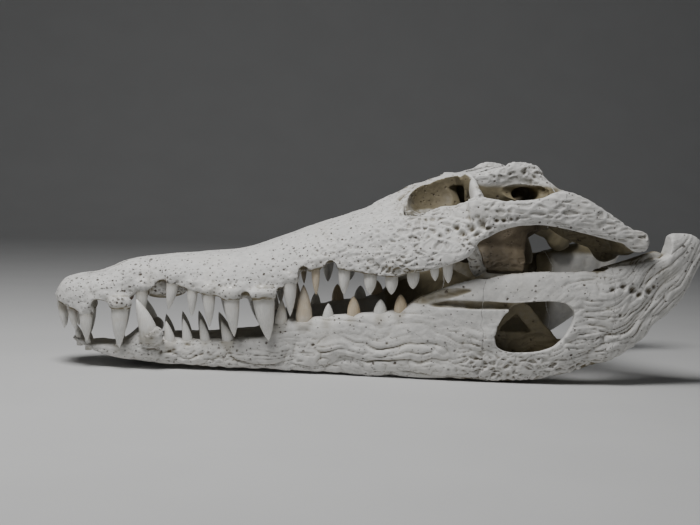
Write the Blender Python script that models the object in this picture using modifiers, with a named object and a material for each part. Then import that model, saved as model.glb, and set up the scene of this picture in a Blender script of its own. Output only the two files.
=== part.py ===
"""Crocodile skull with its lower jaw, life size, jaws slightly open, lying on its own mandible.

Stations run along the skull from the tip of the snout (0) to the back of the lower jaw, in metres.
In the model the snout points to -X, the animal's left side to -Y, and the jaw rests on z = 0.
"""
import bpy
import bmesh
import math
import numpy as np
from mathutils import Matrix, Vector

LENGTH = 0.514            # snout tip to the end of the retroarticular process
SNOUT_END = 0.276         # where the plain dome of the snout gives way to the bars round the orbits
JAW_START = 0.012         # the lower jaw is a little shorter than the snout
CENTRE = LENGTH / 2       # station that lies over the origin
GAP = 0.0003              # between bones that touch
GRAIN = 0.0021            # voxel that melts the bars of a bone together
SOFTEN = 5                # smoothing passes after that
CRANIUM_TRIANGLES = 3900
JAW_TRIANGLES = 1250      # each side
TOOTH_SIDES = 6

# ---- profiles: (station, value) --------------------------------------------------------------
SNOUT_TOP = ((0, .056), (.0055, .0668), (.0195, .0728), (.035, .0758), (.058, .0845), (.09, .0895),
             (.122, .0928), (.155, .0968), (.188, .1085), (.223, .121), (.25, .1305), (.28, .142))
SNOUT_HALF_WIDTH = ((0, .004), (.003, .013), (.008, .0195), (.016, .025), (.028, .030), (.042, .033),
                    (.053, .0325), (.062, .0275), (.073, .0245), (.083, .027), (.10, .036),
                    (.118, .043), (.137, .0485), (.158, .0525), (.176, .051), (.196, .052),
                    (.22, .057), (.245, .0645), (.275, .0735))
TOOTH_MARGIN = ((0, .053), (.007, .049), (.0265, .0445), (.035, .054), (.0535, .0495), (.063, .0565),
                (.076, .0605), (.086, .070), (.097, .067), (.112, .062), (.141, .0585), (.160, .057),
                (.172, .0605), (.183, .070), (.198, .0795), (.213, .085), (.232, .0825), (.262, .0795),
                (.280, .0835))
JAW_TOP = ((.012, .0205), (.020, .0225), (.030, .018), (.050, .018), (.060, .0215), (.070, .029),
           (.080, .024), (.120, .024), (.150, .026), (.166, .027), (.174, .033), (.180, .0405),
           (.200, .0435), (.230, .048), (.262, .0515), (.2755, .055), (.287, .065), (.300, .0715),
           (.331, .082), (.3685, .0875), (.4225, .0915), (.445, .0965), (.456, .100), (.468, .1045),
           (.475, .1075), (.478, .115), (.484, .120), (.4955, .1205), (.5045, .1165), (.510, .1115),
           (.514, .105))
JAW_BOTTOM = ((.012, .0225), (.02, .0175), (.035, .0105), (.058, .006), (.112, .002), (.15, .001),
              (.33, 0), (.368, .0003), (.39, .0045), (.409, .0105), (.4225, .0145), (.442, .0215),
              (.456, .0320), (.467, .0425), (.481, .0545), (.493, .068), (.503, .0895), (.509, .1005), (.514, .1065))
JAW_OUTER = ((.012, .003), (.018, .011), (.025, .0155), (.035, .020), (.05, .025), (.06, .029),
             (.07, .032), (.085, .0305), (.112, .033), (.142, .0375), (.17, .043), (.19, .047),
             (.22, .054), (.265, .066), (.305, .078), (.345, .087), (.38, .093), (.41, .097),
             (.44, .099), (.47, .098), (.50, .095), (.514, .092))
JAW_INNER = ((.012, -.001), (.078, -.001), (.088, .005), (.10, .010), (.12, .0145), (.15, .0195),
             (.19, .028), (.22, .034), (.265, .0455), (.305, .0565), (.345, .0645), (.38, .070),
             (.41, .073), (.425, .071), (.44, .067), (.455, .066), (.468, .071), (.485, .077),
             (.514, .080))

# ---- teeth: (station of the base, half breadth of the row, base height, crown length,
#              width, lean of the tip towards the snout) -----------------------------------------
UPPER_TEETH = ((.0075, .0090, .0470, .0185, .0066, -.002), (.0160, .0170, .0460, .0185, .0072, -.003),
               (.0270, .0240, .0435, .0230, .0102, -.001), (.0537, .0335, .0500, .0335, .0130, .000),
               (.0703, .0235, .0620, .0250, .0090, .000), (.0945, .0310, .0695, .0225, .0092, .003),
               (.1100, .0365, .0655, .0230, .0082, .000), (.1230, .0415, .0625, .0275, .0094, -.001),
               (.1405, .0455, .0600, .0320, .0120, -.003), (.1655, .0490, .0610, .0355, .0165, -.005),
               (.1862, .0465, .0735, .0285, .0104, -.001), (.2062, .0475, .0840, .0215, .0066, -.001),
               (.2285, .0525, .0865, .0225, .0094, .000), (.2485, .0575, .0835, .0185, .0102, .000),
               (.2648, .0620, .0825, .0170, .0100, .000), (.2811, .0660, .0860, .0155, .0100, .000),
               (.2968, .0700, .0915, .0140, .0072, -.001), (.3068, .0725, .0940, .0180, .0080, -.001))
LOWER_TEETH = ((.0215, .0075, .0180, .0120, .0052, .004), (.0285, .0120, .0150, .0120, .0054, .002),
               (.0535, .0200, .0150, .0130, .0060, .001), (.0745, .0325, .0290, .0260, .0115, .0085),
               (.0938, .0245, .0180, .0195, .0088, .004), (.1078, .0255, .0185, .0215, .0084, .0045),
               (.1218, .0270, .0190, .0215, .0084, .005), (.1398, .0310, .0210, .0180, .0096, .006),
               (.1808, .0385, .0360, .0220, .0100, .000), (.1988, .0410, .0385, .0315, .0132, .001),
               (.2175, .0450, .0390, .0170, .0096, .000), (.2376, .0495, .0420, .0205, .0108, .001),
               (.2577, .0545, .0440, .0170, .0108, .000), (.2738, .0585, .0480, .0175, .0108, .001))

BONE = (.62, .60, .55)
BONE_WARM = (.58, .53, .45)
BONE_PALE = (.66, .64, .60)


def smooth_curve(points):
    """A monotone cubic through (station, value) points, as a function."""
    at = np.array([p[0] for p in points], float)
    value = np.array([p[1:] for p in points], float)
    step = np.diff(at)[:, None]
    slope = np.diff(value, axis=0) / step
    tangent = np.vstack([slope[:1], (slope[:-1] + slope[1:]) / 2, slope[-1:]])
    turning = slope[:-1] * slope[1:] <= 0
    tangent[1:-1][turning] = 0
    limit = 3 * np.minimum(np.abs(slope[:-1]), np.abs(slope[1:]))
    tangent[1:-1] = np.clip(tangent[1:-1], -limit, limit)

    def read(s):
        s = min(max(s, at[0]), at[-1])
        i = min(int(np.searchsorted(at, s, side="right")) - 1, len(at) - 2)
        t = (s - at[i]) / step[i, 0]
        low = value[i] * (1 + 2 * t) * (1 - t) ** 2 + tangent[i] * step[i] * t * (1 - t) ** 2
        high = value[i + 1] * t * t * (3 - 2 * t) - tangent[i + 1] * step[i] * t * t * (1 - t)
        found = low + high
        return float(found[0]) if len(found) == 1 else found
    return read


snout_top = smooth_curve(SNOUT_TOP)
snout_half = smooth_curve(SNOUT_HALF_WIDTH)
tooth_margin = smooth_curve(TOOTH_MARGIN)
jaw_top = smooth_curve(JAW_TOP)
jaw_bottom = smooth_curve(JAW_BOTTOM)
jaw_outer = smooth_curve(JAW_OUTER)
jaw_inner = smooth_curve(JAW_INNER)


# ---- closed volumes, gathered in one mesh ------------------------------------------------------
def skin(mesh, rings):
    """Skin a row of rings with equal counts and close both ends."""
    loops = [[mesh.verts.new(point) for point in ring] for ring in rings]
    count = len(loops[0])
    for near, far in zip(loops, loops[1:]):
        for i in range(count):
            j = (i + 1) % count
            mesh.faces.new((near[i], near[j], far[j], far[i]))
    mesh.faces.new(list(reversed(loops[0])))
    mesh.faces.new(loops[-1])


def place(s, y, z):
    """A point of the skull at a station, in world coordinates."""
    return Vector((s - CENTRE, y, z))


def bend(value, power):
    """A signed power, for superellipses."""
    return math.copysign(abs(value) ** power, value)


def bar(mesh, side, stations, facing=(0, 0, 1), power=.8, count=16, steps=5):
    """A bar of oval section along (s, y, z, width, height) stations on one side of the skull."""
    rows = np.array(stations, float)
    chord = np.linalg.norm(np.diff(rows[:, :3], axis=0), axis=1)
    along = np.concatenate([[0], np.cumsum(chord)])
    path = smooth_curve([(a, *row) for a, row in zip(along, rows)])
    ticks = np.linspace(0, along[-1], steps * (len(rows) - 1) + 1)
    spots = [path(t) for t in ticks]
    rings = []
    for i, spot in enumerate(spots):
        before = spots[max(i - 1, 0)]
        after = spots[min(i + 1, len(spots) - 1)]
        along_bar = Vector((after - before)[:3]).normalized()
        across = Vector(facing).cross(along_bar).normalized()
        up = along_bar.cross(across)
        ring = []
        for k in range(count):
            turn = 2 * math.pi * k / count
            offset = across * bend(math.cos(turn), power) * spot[3] / 2
            offset += up * bend(math.sin(turn), power) * spot[4] / 2
            point = Vector(spot[:3]) + offset
            ring.append(place(point.x, point.y * side, point.z))
        rings.append(ring if side > 0 else ring[::-1])
    skin(mesh, rings)


def egg(mesh, side, centre, radii):
    """An ellipsoid on one side of the skull."""
    made = bmesh.ops.create_uvsphere(mesh, u_segments=20, v_segments=12, radius=1)["verts"]
    for vert in made:
        local = [a * b for a, b in zip(vert.co, radii)]
        vert.co = place(centre[0] + local[0], side * centre[1] + local[1], centre[2] + local[2])


def crown(mesh, side, tooth, sign):
    """One conical crown, sunk into its socket."""
    s, y, z, length, width, lean = tooth
    profile = ((-.20, .86), (.10, 1), (.55, .78), (.86, .36), (1, .08))
    rings = []
    for rise, share in profile:
        far = max(rise, 0)
        centre = place(s - lean * far ** 1.4, side * (y + .0006 * sign * far), z + sign * length * rise)
        ring = []
        for k in range(TOOTH_SIDES):
            turn = 2 * math.pi * k / TOOTH_SIDES
            ring.append(centre + Vector((math.cos(turn), math.sin(turn) * .85, 0)) * share * width / 2)
        rings.append(ring if sign > 0 else ring[::-1])
    skin(mesh, rings)


# ---- the bones ---------------------------------------------------------------------------------
def add_snout(mesh):
    """Snout from the tip to the front of the orbits: a low dome over a vaulted palate."""
    stations = [SNOUT_END * (k / 60) ** 1.25 for k in range(61)]
    rings = []
    for s in stations:
        half, low, top = snout_half(s), tooth_margin(s), snout_top(s)
        ring = []
        for k in range(25):
            turn = math.pi * k / 24
            y = half * bend(math.cos(turn), .82)
            z = low + (top - low) * math.sin(turn) ** .86
            ring.append(place(s, y, z))
        for k in range(1, 12):
            y = -half + 2 * half * k / 12
            vault = .007 * min(half / .05, 1) * max(0, 1 - (y / (half * .80)) ** 2) ** .5
            ring.append(place(s, y, low + vault))
        rings.append(ring)
    skin(mesh, rings)


def add_sockets(mesh, side, teeth, sign):
    """A swollen collar of bone round the root of each tooth."""
    for s, y, z, length, width, lean in teeth:
        radii = (width * .78, width * .66, .0075)
        egg(mesh, side, (s + lean * .2, y - .0005, z + .0022 * (-sign)), radii)


def add_roof(mesh, side):
    """Frontal, orbital rims, skull table and the bars behind the orbits, one side."""
    bar(mesh, side, ((.240, .010, .116, .030, .012), (.262, .009, .129, .028, .010),
                     (.285, .005, .1435, .021, .0075), (.305, .007, .152, .024, .0075),
                     (.322, .014, .157, .040, .009), (.335, .020, .159, .050, .010)), power=.6)
    bar(mesh, side, ((.242, .028, .1175, .008, .006), (.260, .0230, .1300, .008, .007),
                     (.280, .0165, .1425, .007, .007), (.302, .0165, .1515, .007, .0065),
                     (.317, .028, .1567, .009, .0075), (.328, .039, .158, .011, .010)))
    bar(mesh, side, ((.324, .018, .1565, .044, .010), (.340, .020, .1595, .048, .011),
                     (.362, .022, .1655, .050, .012), (.383, .023, .1635, .050, .013)), power=.5)
    bar(mesh, side, ((.326, .0405, .1560, .010, .010), (.3365, .0425, .1560, .010, .0115),
                     (.353, .0455, .1595, .010, .0175), (.366, .0480, .1645, .0105, .0230),
                     (.377, .0500, .1650, .011, .0195), (.387, .0525, .1585, .013, .0125),
                     (.395, .0560, .1500, .014, .013), (.402, .0580, .1440, .014, .013)), power=.7)
    bar(mesh, side, ((.3290, .0415, .1550, .015, .008), (.3290, .053, .1520, .015, .007),
                     (.3280, .067, .1470, .016, .008), (.3280, .081, .139, .018, .010)), facing=(1, 0, 0))


def add_cheek(mesh, side):
    """Jugal and quadratojugal: the plate below the orbit, leaning in, and the bar behind it."""
    bar(mesh, side, ((.222, .0480, .098, .008, .018), (.250, .0560, .103, .011, .034),
                     (.268, .0620, .1065, .0135, .045), (.285, .0670, .108, .013, .051),
                     (.300, .0715, .112, .012, .050), (.312, .0755, .1168, .011, .049),
                     (.3225, .0805, .1245, .010, .038), (.334, .0850, .1285, .010, .033)),
        facing=(0, -.42, 1), power=.7)
    bar(mesh, side, ((.322, .0820, .1260, .010, .036), (.334, .0855, .1288, .010, .032),
                     (.345, .0880, .1307, .010, .0245), (.356, .0905, .1327, .010, .0215),
                     (.3673, .0925, .1337, .010, .021), (.3787, .0945, .1348, .010, .0245),
                     (.390, .0965, .1365, .010, .0305), (.4084, .0985, .1325, .010, .0285),
                     (.4274, .1000, .1258, .010, .024), (.440, .1003, .1205, .010, .019),
                     (.452, .1002, .1150, .009, .015), (.458, .1000, .1125, .009, .012)), power=.7)


def add_condyle(mesh, side, room):
    """The double roller of the jaw joint, or with some room, the seat it turns in."""
    bar(mesh, side, ((.4450, .066 - room, .1080, .017 + room, .016 + room),
                     (.4480, .078, .1100, .020 + room, .019 + room),
                     (.4500, .090, .1130, .019 + room, .018 + room),
                     (.4510, .103 + room, .1155, .018 + room, .019 + room)))


def add_quadrate(mesh, side):
    """Quadrate from the ear region to the jaw joint, with its double condyle."""
    bar(mesh, side, ((.350, .034, .148, .020, .016), (.372, .045, .147, .034, .016),
                     (.395, .062, .1425, .046, .015), (.415, .076, .1355, .046, .013),
                     (.435, .084, .1235, .042, .014), (.450, .0865, .1150, .038, .018)), power=.75)
    bar(mesh, side, ((.392, .044, .134, .010, .022), (.412, .056, .125, .011, .030),
                     (.430, .064, .1155, .013, .024), (.444, .069, .1085, .015, .016)), power=.75)
    add_condyle(mesh, side, 0)
    bar(mesh, side, ((.388, .015, .142, .009, .020), (.394, .040, .1435, .009, .020),
                     (.401, .062, .1415, .010, .020)), power=.7)


def add_braincase(mesh):
    """Braincase, the wall between the orbits, basioccipital and the ball of the neck joint."""
    bar(mesh, 1, ((.326, 0, .146, .022, .024), (.345, 0, .142, .034, .036),
                  (.368, 0, .139, .042, .042), (.390, 0, .140, .050, .038)), power=.7)
    bar(mesh, 1, ((.374, 0, .132, .034, .022), (.382, 0, .110, .032, .017),
                  (.389, 0, .093, .030, .012), (.390, 0, .087, .026, .009)), facing=(1, 0, 0))
    bar(mesh, 1, ((.258, 0, .113, .006, .040), (.290, 0, .123, .006, .048),
                  (.326, 0, .132, .008, .048)), power=.7)
    egg(mesh, 1, (.4035, 0, .1235), (.0085, .009, .0085))
    bar(mesh, 1, ((.385, 0, .1235, .024, .020), (.398, 0, .1235, .014, .013)))


def add_palate(mesh, side):
    """Palatine, pterygoid with its wing, and ectopterygoid, one side."""
    bar(mesh, side, ((.195, .008, .088, .024, .014), (.225, .006, .093, .021, .013),
                     (.255, .006, .096, .019, .013), (.285, .008, .0985, .021, .013),
                     (.305, .011, .100, .028, .011), (.330, .012, .101, .034, .010),
                     (.358, .011, .100, .032, .011), (.380, .008, .101, .026, .014)), power=.7)
    bar(mesh, side, ((.350, .012, .1060, .040, .010), (.354, .030, .1060, .040, .0085),
                     (.3565, .045, .1010, .039, .0075), (.3570, .055, .0925, .037, .0075),
                     (.3570, .0605, .0835, .033, .008)), power=.75)
    bar(mesh, side, ((.322, .016, .108, .007, .022), (.345, .020, .115, .007, .038),
                     (.365, .026, .122, .007, .040), (.385, .038, .130, .008, .030),
                     (.402, .055, .133, .009, .018)), power=.7)
    bar(mesh, side, ((.295, .0700, .1060, .009, .020), (.310, .0715, .1080, .009, .020),
                     (.3225, .0715, .1050, .008, .016), (.329, .0685, .0970, .0075, .013),
                     (.332, .0650, .0890, .0075, .013), (.337, .0620, .0835, .008, .014)),
        facing=(1, 0, 0), power=.75)


def cranium_cutters(mesh):
    """Nostril, orbits and the openings of the roof, the palate and the occiput."""
    egg(mesh, 1, (.040, 0, .090), (.0175, .0125, .027))
    egg(mesh, 1, (.056, 0, .074), (.028, .010, .0085))
    egg(mesh, 1, (.028, 0, .048), (.010, .006, .012))
    egg(mesh, 1, (.352, 0, .092), (.010, .009, .012))
    egg(mesh, 1, (.404, 0, .1405), (.022, .0085, .0072))
    for side in (-1, 1):
        egg(mesh, side, (.2895, .0375, .150), (.0300, .0225, .036))
        egg(mesh, side, (.262, .0385, .088), (.046, .0185, .027))
        egg(mesh, side, (.353, .0240, .160), (.0140, .0120, .030))
        egg(mesh, side, (.356, .066, .1515), (.028, .022, .0070))
        egg(mesh, side, (.352, .050, .118), (.030, .023, .026))


def add_jaw(mesh, side):
    """Lower jaw of one side as one solid, from the symphysis to the retroarticular process."""
    stations = [JAW_START + (LENGTH - JAW_START) * k / 110 for k in range(111)]
    rings = []
    for s in stations:
        outer, inner, low, top = jaw_outer(s), jaw_inner(s), jaw_bottom(s), jaw_top(s)
        middle, height = (low + top) / 2, max((top - low) / 2, .0004)
        centre, half = (outer + inner) / 2, (outer - inner) / 2
        ring = []
        for k in range(28):
            turn = 2 * math.pi * k / 28
            y = centre + half * bend(math.cos(turn), .55)
            z = middle + height * bend(math.sin(turn), .62)
            ring.append(place(s, side * y, z))
        rings.append(ring if side > 0 else ring[::-1])
    skin(mesh, rings)


def prism(mesh, side, outline, near, far):
    """A flat outline of (station, height) points, carried from one breadth to another."""
    rings = []
    for y in (near, far):
        rings.append([place(s, side * y, z) for s, z in outline])
    skin(mesh, rings if side > 0 else [ring[::-1] for ring in rings])


def jaw_cutters(mesh, side):
    """Muscle hollow, outer window, open rear of the inner wall and the seat of the condyle."""
    rows = []
    for s, low, top in ((.290, .060, .080), (.305, .040, .100), (.325, .022, .110), (.350, .014, .110),
                        (.380, .018, .110), (.400, .030, .110), (.420, .055, .110), (.430, .080, .110)):
        outer = jaw_outer(s) - .0075
        inner = jaw_inner(s) + (.0045 if s < .40 else .008)
        rows.append([place(s, side * y, z) for y, z in ((inner, low), (outer, low), (outer, top), (inner, top))])
    skin(mesh, rows if side > 0 else [row[::-1] for row in rows])
    window = []
    for k in range(20):
        turn = 2 * math.pi * k / 20
        z = .0445 + .0200 * bend(math.sin(turn), .75)
        window.append((.3735 + .0275 * bend(math.cos(turn), .75) + .45 * (z - .0445), z))
    prism(mesh, side, window, .0785, .110)
    prism(mesh, side, ((.286, .090), (.330, .083), (.3745, .0600), (.396, .0335), (.408, .0330), (.421, .055),
                       (.424, .120), (.286, .120))[::-1], .030, .0800)
    prism(mesh, side, ((.350, .0390), (.3755, .0390), (.3645, .0520)), .050, .0790)
    add_condyle(mesh, side, .003)


# ---- from volumes to bones -----------------------------------------------------------------------
def mesh_object(name, mesh):
    """A bmesh as an object of the scene."""
    bmesh.ops.recalc_face_normals(mesh, faces=mesh.faces)
    data = bpy.data.meshes.new(name)
    mesh.to_mesh(data)
    mesh.free()
    made = bpy.data.objects.new(name, data)
    bpy.context.scene.collection.objects.link(made)
    return made


def settled(thing, name):
    """The object with its modifiers applied, under a new name; the first one is removed."""
    view = bpy.context.evaluated_depsgraph_get()
    data = bpy.data.meshes.new_from_object(thing.evaluated_get(view))
    made = bpy.data.objects.new(name, data)
    bpy.context.scene.collection.objects.link(made)
    bpy.data.objects.remove(thing)
    return made


def melt(thing, grain, passes, name):
    """Melt overlapping volumes into one skin of bone and smooth it."""
    remesh = thing.modifiers.new("melt", "REMESH")
    remesh.mode = "VOXEL"
    remesh.voxel_size = grain
    soften = thing.modifiers.new("soften", "SMOOTH")
    soften.factor = .5
    soften.iterations = passes
    return settled(thing, name)


def combine(thing, other, how, name):
    """Boolean of two objects; both are used up."""
    step = thing.modifiers.new(how.lower(), "BOOLEAN")
    step.operation = how
    step.solver = "EXACT"
    step.object = other
    made = settled(thing, name)
    bpy.data.objects.remove(other)
    return made


def thin_out(thing, triangles, name):
    """Reduce a mesh to about a number of triangles."""
    fewer = thing.modifiers.new("fewer", "DECIMATE")
    fewer.ratio = triangles / sum(len(face.vertices) - 2 for face in thing.data.polygons)
    fewer.use_collapse_triangulate = True
    return settled(thing, name)


def largest_piece(thing):
    """Keep only the largest connected piece of a mesh."""
    mesh = bmesh.new()
    mesh.from_mesh(thing.data)
    left = set(mesh.verts)
    pieces = []
    while left:
        stack = [left.pop()]
        piece = list(stack)
        while stack:
            vert = stack.pop()
            for edge in vert.link_edges:
                other = edge.other_vert(vert)
                if other in left:
                    left.remove(other)
                    stack.append(other)
                    piece.append(other)
        pieces.append(piece)
    pieces.sort(key=len)
    for piece in pieces[:-1]:
        bmesh.ops.delete(mesh, geom=piece, context="VERTS")
    mesh.to_mesh(thing.data)
    mesh.free()


def build_cranium():
    """The whole cranium with its teeth, before it is parted into bones."""
    mesh = bmesh.new()
    add_snout(mesh)
    add_braincase(mesh)
    for side in (-1, 1):
        add_sockets(mesh, side, UPPER_TEETH, -1)
        add_roof(mesh, side)
        add_cheek(mesh, side)
        add_quadrate(mesh, side)
        add_palate(mesh, side)
    solid = melt(mesh_object("solid", mesh), GRAIN, SOFTEN, "melted")
    cutters = bmesh.new()
    cranium_cutters(cutters)
    cutters = melt(mesh_object("holes", cutters), GRAIN, 2, "holes_melted")
    bored = combine(solid, cutters, "DIFFERENCE", "bored")
    smooth = melt(bored, GRAIN, 3, "smooth")
    largest_piece(smooth)
    crowns = bmesh.new()
    for side in (-1, 1):
        for tooth in UPPER_TEETH:
            crown(crowns, side, tooth, -1)
    toothed = combine(thin_out(smooth, 2 * CRANIUM_TRIANGLES, "plain"), mesh_object("crowns", crowns),
                      "UNION", "toothed")
    return thin_out(toothed, CRANIUM_TRIANGLES, "cranium")


def build_jaw(side):
    """One whole half of the lower jaw with its teeth."""
    mesh = bmesh.new()
    add_jaw(mesh, side)
    add_sockets(mesh, side, LOWER_TEETH[3:], 1)
    solid = melt(mesh_object("solid", mesh), GRAIN, SOFTEN, "melted")
    cutters = bmesh.new()
    jaw_cutters(cutters, side)
    cutters = melt(mesh_object("holes", cutters), GRAIN, 1, "holes_melted")
    bored = combine(solid, cutters, "DIFFERENCE", "bored")
    smooth = melt(bored, GRAIN, 3, "smooth")
    largest_piece(smooth)
    crowns = bmesh.new()
    for tooth in LOWER_TEETH:
        crown(crowns, side, tooth, 1)
    toothed = combine(thin_out(smooth, 2 * JAW_TRIANGLES, "plain"), mesh_object("crowns", crowns),
                      "UNION", "toothed")
    return thin_out(toothed, JAW_TRIANGLES, "jaw")


def region(outline, low, high, name):
    """A block over an outline of (station, y) points between two heights."""
    mesh = bmesh.new()
    rings = [[place(s, y, z) for s, y in outline] for z in (low, high)]
    skin(mesh, rings)
    return mesh_object(name, mesh)


def copy_of(thing, name):
    """A copy with its own mesh."""
    made = bpy.data.objects.new(name, thing.data.copy())
    bpy.context.scene.collection.objects.link(made)
    return made


def finish(thing, colour, collection):
    """Material, shading and collection of a finished bone."""
    material = bpy.data.materials.new(thing.name)
    material.use_nodes = True
    shader = material.node_tree.nodes["Principled BSDF"]
    shader.inputs["Base Color"].default_value = (*colour, 1)
    shader.inputs["Roughness"].default_value = .62
    shader.inputs["Metallic"].default_value = 0
    thing.data.materials.clear()
    thing.data.materials.append(material)
    thing.data.shade_smooth()
    thing.data.set_sharp_from_angle(angle=math.radians(40))
    for holder in list(thing.users_collection):
        holder.objects.unlink(thing)
    collection.objects.link(thing)


def part_bones(whole, blocks, collection):
    """Cut a whole into bones, one for each named block."""
    for name, outline, low, high, colour in blocks:
        block = region(outline, low, high, "block")
        bone = combine(copy_of(whole, "blank"), block, "INTERSECT", name)
        largest_piece(bone)
        finish(bone, colour, collection)
    bpy.data.objects.remove(whole)


def cheek_line(s):
    """Breadth of the cut between the cheek bar and the bones inside it."""
    return .0645 + (s - .278) * .25


def cranium_blocks():
    """Blocks of the upper bones: name, outline, heights and colour."""
    front, middle, back = .0757, .2780, .3925
    slit = GAP / 2
    wide, end = .13, .48
    blocks = []
    for name, side in (("left", -1), ("right", 1)):
        def sided(points):
            turned = [(s, side * y) for s, y in points]
            return turned if side > 0 else turned[::-1]
        blocks.append((f"premaxilla_{name}", sided(((-.02, slit), (front - slit, slit), (front - slit, wide),
                                                    (-.02, wide))), 0, .2, BONE_PALE))
        blocks.append((f"maxilla_{name}", sided(((front + slit, slit), (middle - slit, slit),
                                                 (middle - slit, wide), (front + slit, wide))), 0, .2, BONE))
        blocks.append((f"jugal_{name}", sided(((middle + slit, cheek_line(middle) + slit),
                                               (back - slit, cheek_line(back) + slit),
                                               (back - slit, wide), (middle + slit, wide))), 0, .2, BONE))
        blocks.append((f"quadrate_{name}", sided(((back + slit, .030 + slit), (end, .030 + slit),
                                                  (end, wide), (back + slit, wide))), 0, .2, BONE_PALE))
    inner = ((middle + slit, -cheek_line(middle) + slit), (back - slit, -cheek_line(back) + slit),
             (back - slit, -.030 + slit), (end, -.030 + slit), (end, .030 - slit), (back - slit, .030 - slit),
             (back - slit, cheek_line(back) - slit), (middle + slit, cheek_line(middle) - slit))
    blocks.append(("skull_roof", inner, .128 + slit, .2, BONE))
    blocks.append(("palate_base", inner, 0, .128 - slit, BONE_WARM))
    return blocks


def jaw_blocks(side, name):
    """Blocks of the lower bones of one side."""
    slit = GAP / 2
    wide = .13
    seam, joint = .333, .4325

    def sided(points):
        turned = [(s, side * y) for s, y in points]
        return turned if side > 0 else turned[::-1]
    return [(f"dentary_{name}", sided(((-.02, slit), (seam - slit, slit), (seam - slit, wide), (-.02, wide))),
             -.01, .2, BONE),
            (f"surangular_{name}", sided(((seam + slit, slit), (joint - slit, slit), (joint - slit, wide),
                                          (seam + slit, wide))), -.01, .2, BONE_WARM),
            (f"articular_{name}", sided(((joint + slit, slit), (.55, slit), (.55, wide), (joint + slit, wide))),
             -.01, .2, BONE_PALE)]


def rest_on_floor(things):
    """Move all bones together: the lowest point on the floor, the whole over the origin."""
    points = np.array([vert.co for thing in things for vert in thing.data.vertices])
    low, high = points.min(axis=0), points.max(axis=0)
    shift = Matrix.Translation((-(low[0] + high[0]) / 2, -(low[1] + high[1]) / 2, -low[2]))
    for thing in things:
        thing.data.transform(shift)


def main():
    for thing in list(bpy.data.objects):
        bpy.data.objects.remove(thing)
    collection = bpy.data.collections.new("crocodile_skull")
    bpy.context.scene.collection.children.link(collection)
    part_bones(build_cranium(), cranium_blocks(), collection)
    for name, side in (("left", -1), ("right", 1)):
        part_bones(build_jaw(side), jaw_blocks(side, name), collection)
    rest_on_floor(list(collection.objects))


main()
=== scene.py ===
"""Looks of a crocodile skull: the bones with their relief, patina and painted shade, the teeth, and a plain
stage.

Stations run along the skull from the tip of the snout (0) to the back of the lower jaw, in metres.
The snout points to -X, the animal's left side to -Y, and the lower jaw rests on z = 0.
"""

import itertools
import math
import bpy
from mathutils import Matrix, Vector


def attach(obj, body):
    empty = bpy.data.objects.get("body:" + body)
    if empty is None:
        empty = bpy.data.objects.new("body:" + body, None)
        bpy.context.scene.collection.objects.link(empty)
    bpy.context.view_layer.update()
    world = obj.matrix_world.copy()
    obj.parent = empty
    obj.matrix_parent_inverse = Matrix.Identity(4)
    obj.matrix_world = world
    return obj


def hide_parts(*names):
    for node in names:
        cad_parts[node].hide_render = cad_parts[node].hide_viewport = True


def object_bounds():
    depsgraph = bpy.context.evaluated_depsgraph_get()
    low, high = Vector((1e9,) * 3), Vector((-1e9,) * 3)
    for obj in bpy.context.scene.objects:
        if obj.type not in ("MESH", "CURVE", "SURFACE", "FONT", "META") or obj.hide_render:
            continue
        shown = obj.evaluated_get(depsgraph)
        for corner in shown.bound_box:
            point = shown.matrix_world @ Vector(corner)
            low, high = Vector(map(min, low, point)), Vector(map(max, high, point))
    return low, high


bl_info = {
    "name": "Crocodile Skull Looks",
    "version": (1, 0, 0),
    "blender": (4, 5, 0),
    "location": "3D View > Sidebar > Skull",
    "description": "Builds the finished bones and teeth of a crocodile skull over its plain model",
    "category": "Object",
}

import bmesh
import bpy
import numpy as np
from bpy.props import FloatProperty, FloatVectorProperty, IntProperty, PointerProperty
from mathutils import Matrix, Vector

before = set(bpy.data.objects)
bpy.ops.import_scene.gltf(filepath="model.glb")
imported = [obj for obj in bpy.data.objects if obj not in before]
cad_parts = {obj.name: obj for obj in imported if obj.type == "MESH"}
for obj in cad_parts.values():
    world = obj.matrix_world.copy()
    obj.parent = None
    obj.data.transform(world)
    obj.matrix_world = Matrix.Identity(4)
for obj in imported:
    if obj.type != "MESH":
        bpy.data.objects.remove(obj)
MODEL_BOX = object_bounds()

LENGTH = 0.514            # snout tip to the end of the retroarticular process
CENTRE = 0.257            # station that lies over the origin
SNOUT_END = 0.276         # where the plain dome of the snout gives way to the bars round the orbits
JAW_START = 0.012         # the lower jaw is a little shorter than the snout
MAXILLA_START = 0.0757    # borders between the bones, along the skull
CHEEK_START = 0.2780
EAR_START = 0.3925
SURANGULAR_START = 0.333
ARTICULAR_START = 0.4325
ROOF_HEIGHT = 0.128       # border between the skull roof and the base below it

SIDES = (("left", -1), ("right", 1))
BAR_SIDES = 28            # points round a bar of bone, and rings from one of its stations to the next
BAR_STEPS = 9
JAW_SIDES = 48            # points round the lower jaw and its window, and round the rim of a socket
RIM_SIDES = 24
TOOTH_RINGS = 18
SUTURE_STEP = .0022       # distance between the points of a wavy border
JAW_PASSES = (14, 4, 3)   # smoothing of the solid, of its openings and of the bored whole
CRANIUM_PASSES = (16, 5, 4)
FINE_PASSES = 6           # smoothing that tells small hollows, and large ones
BROAD_PASSES = 60
PLAIN_TONE = .12          # yellowness of the teeth that have no tone of their own below

BLOCK_FRONT = -.02        # blocks that part the bones reach clear of the skull all round
BLOCK_REAR = .48
JAW_BLOCK_REAR = .55
BLOCK_EDGE = .13
BLOCK_BOTTOM = -.01
BLOCK_TOP = .2
NECK_HALF = .030          # half breadth of the roof and the base between the two quadrates
CHEEK_BORDER = .0645      # breadth of the cheek bar's inner border at its front end, and its slant
CHEEK_SLOPE = .25

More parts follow.
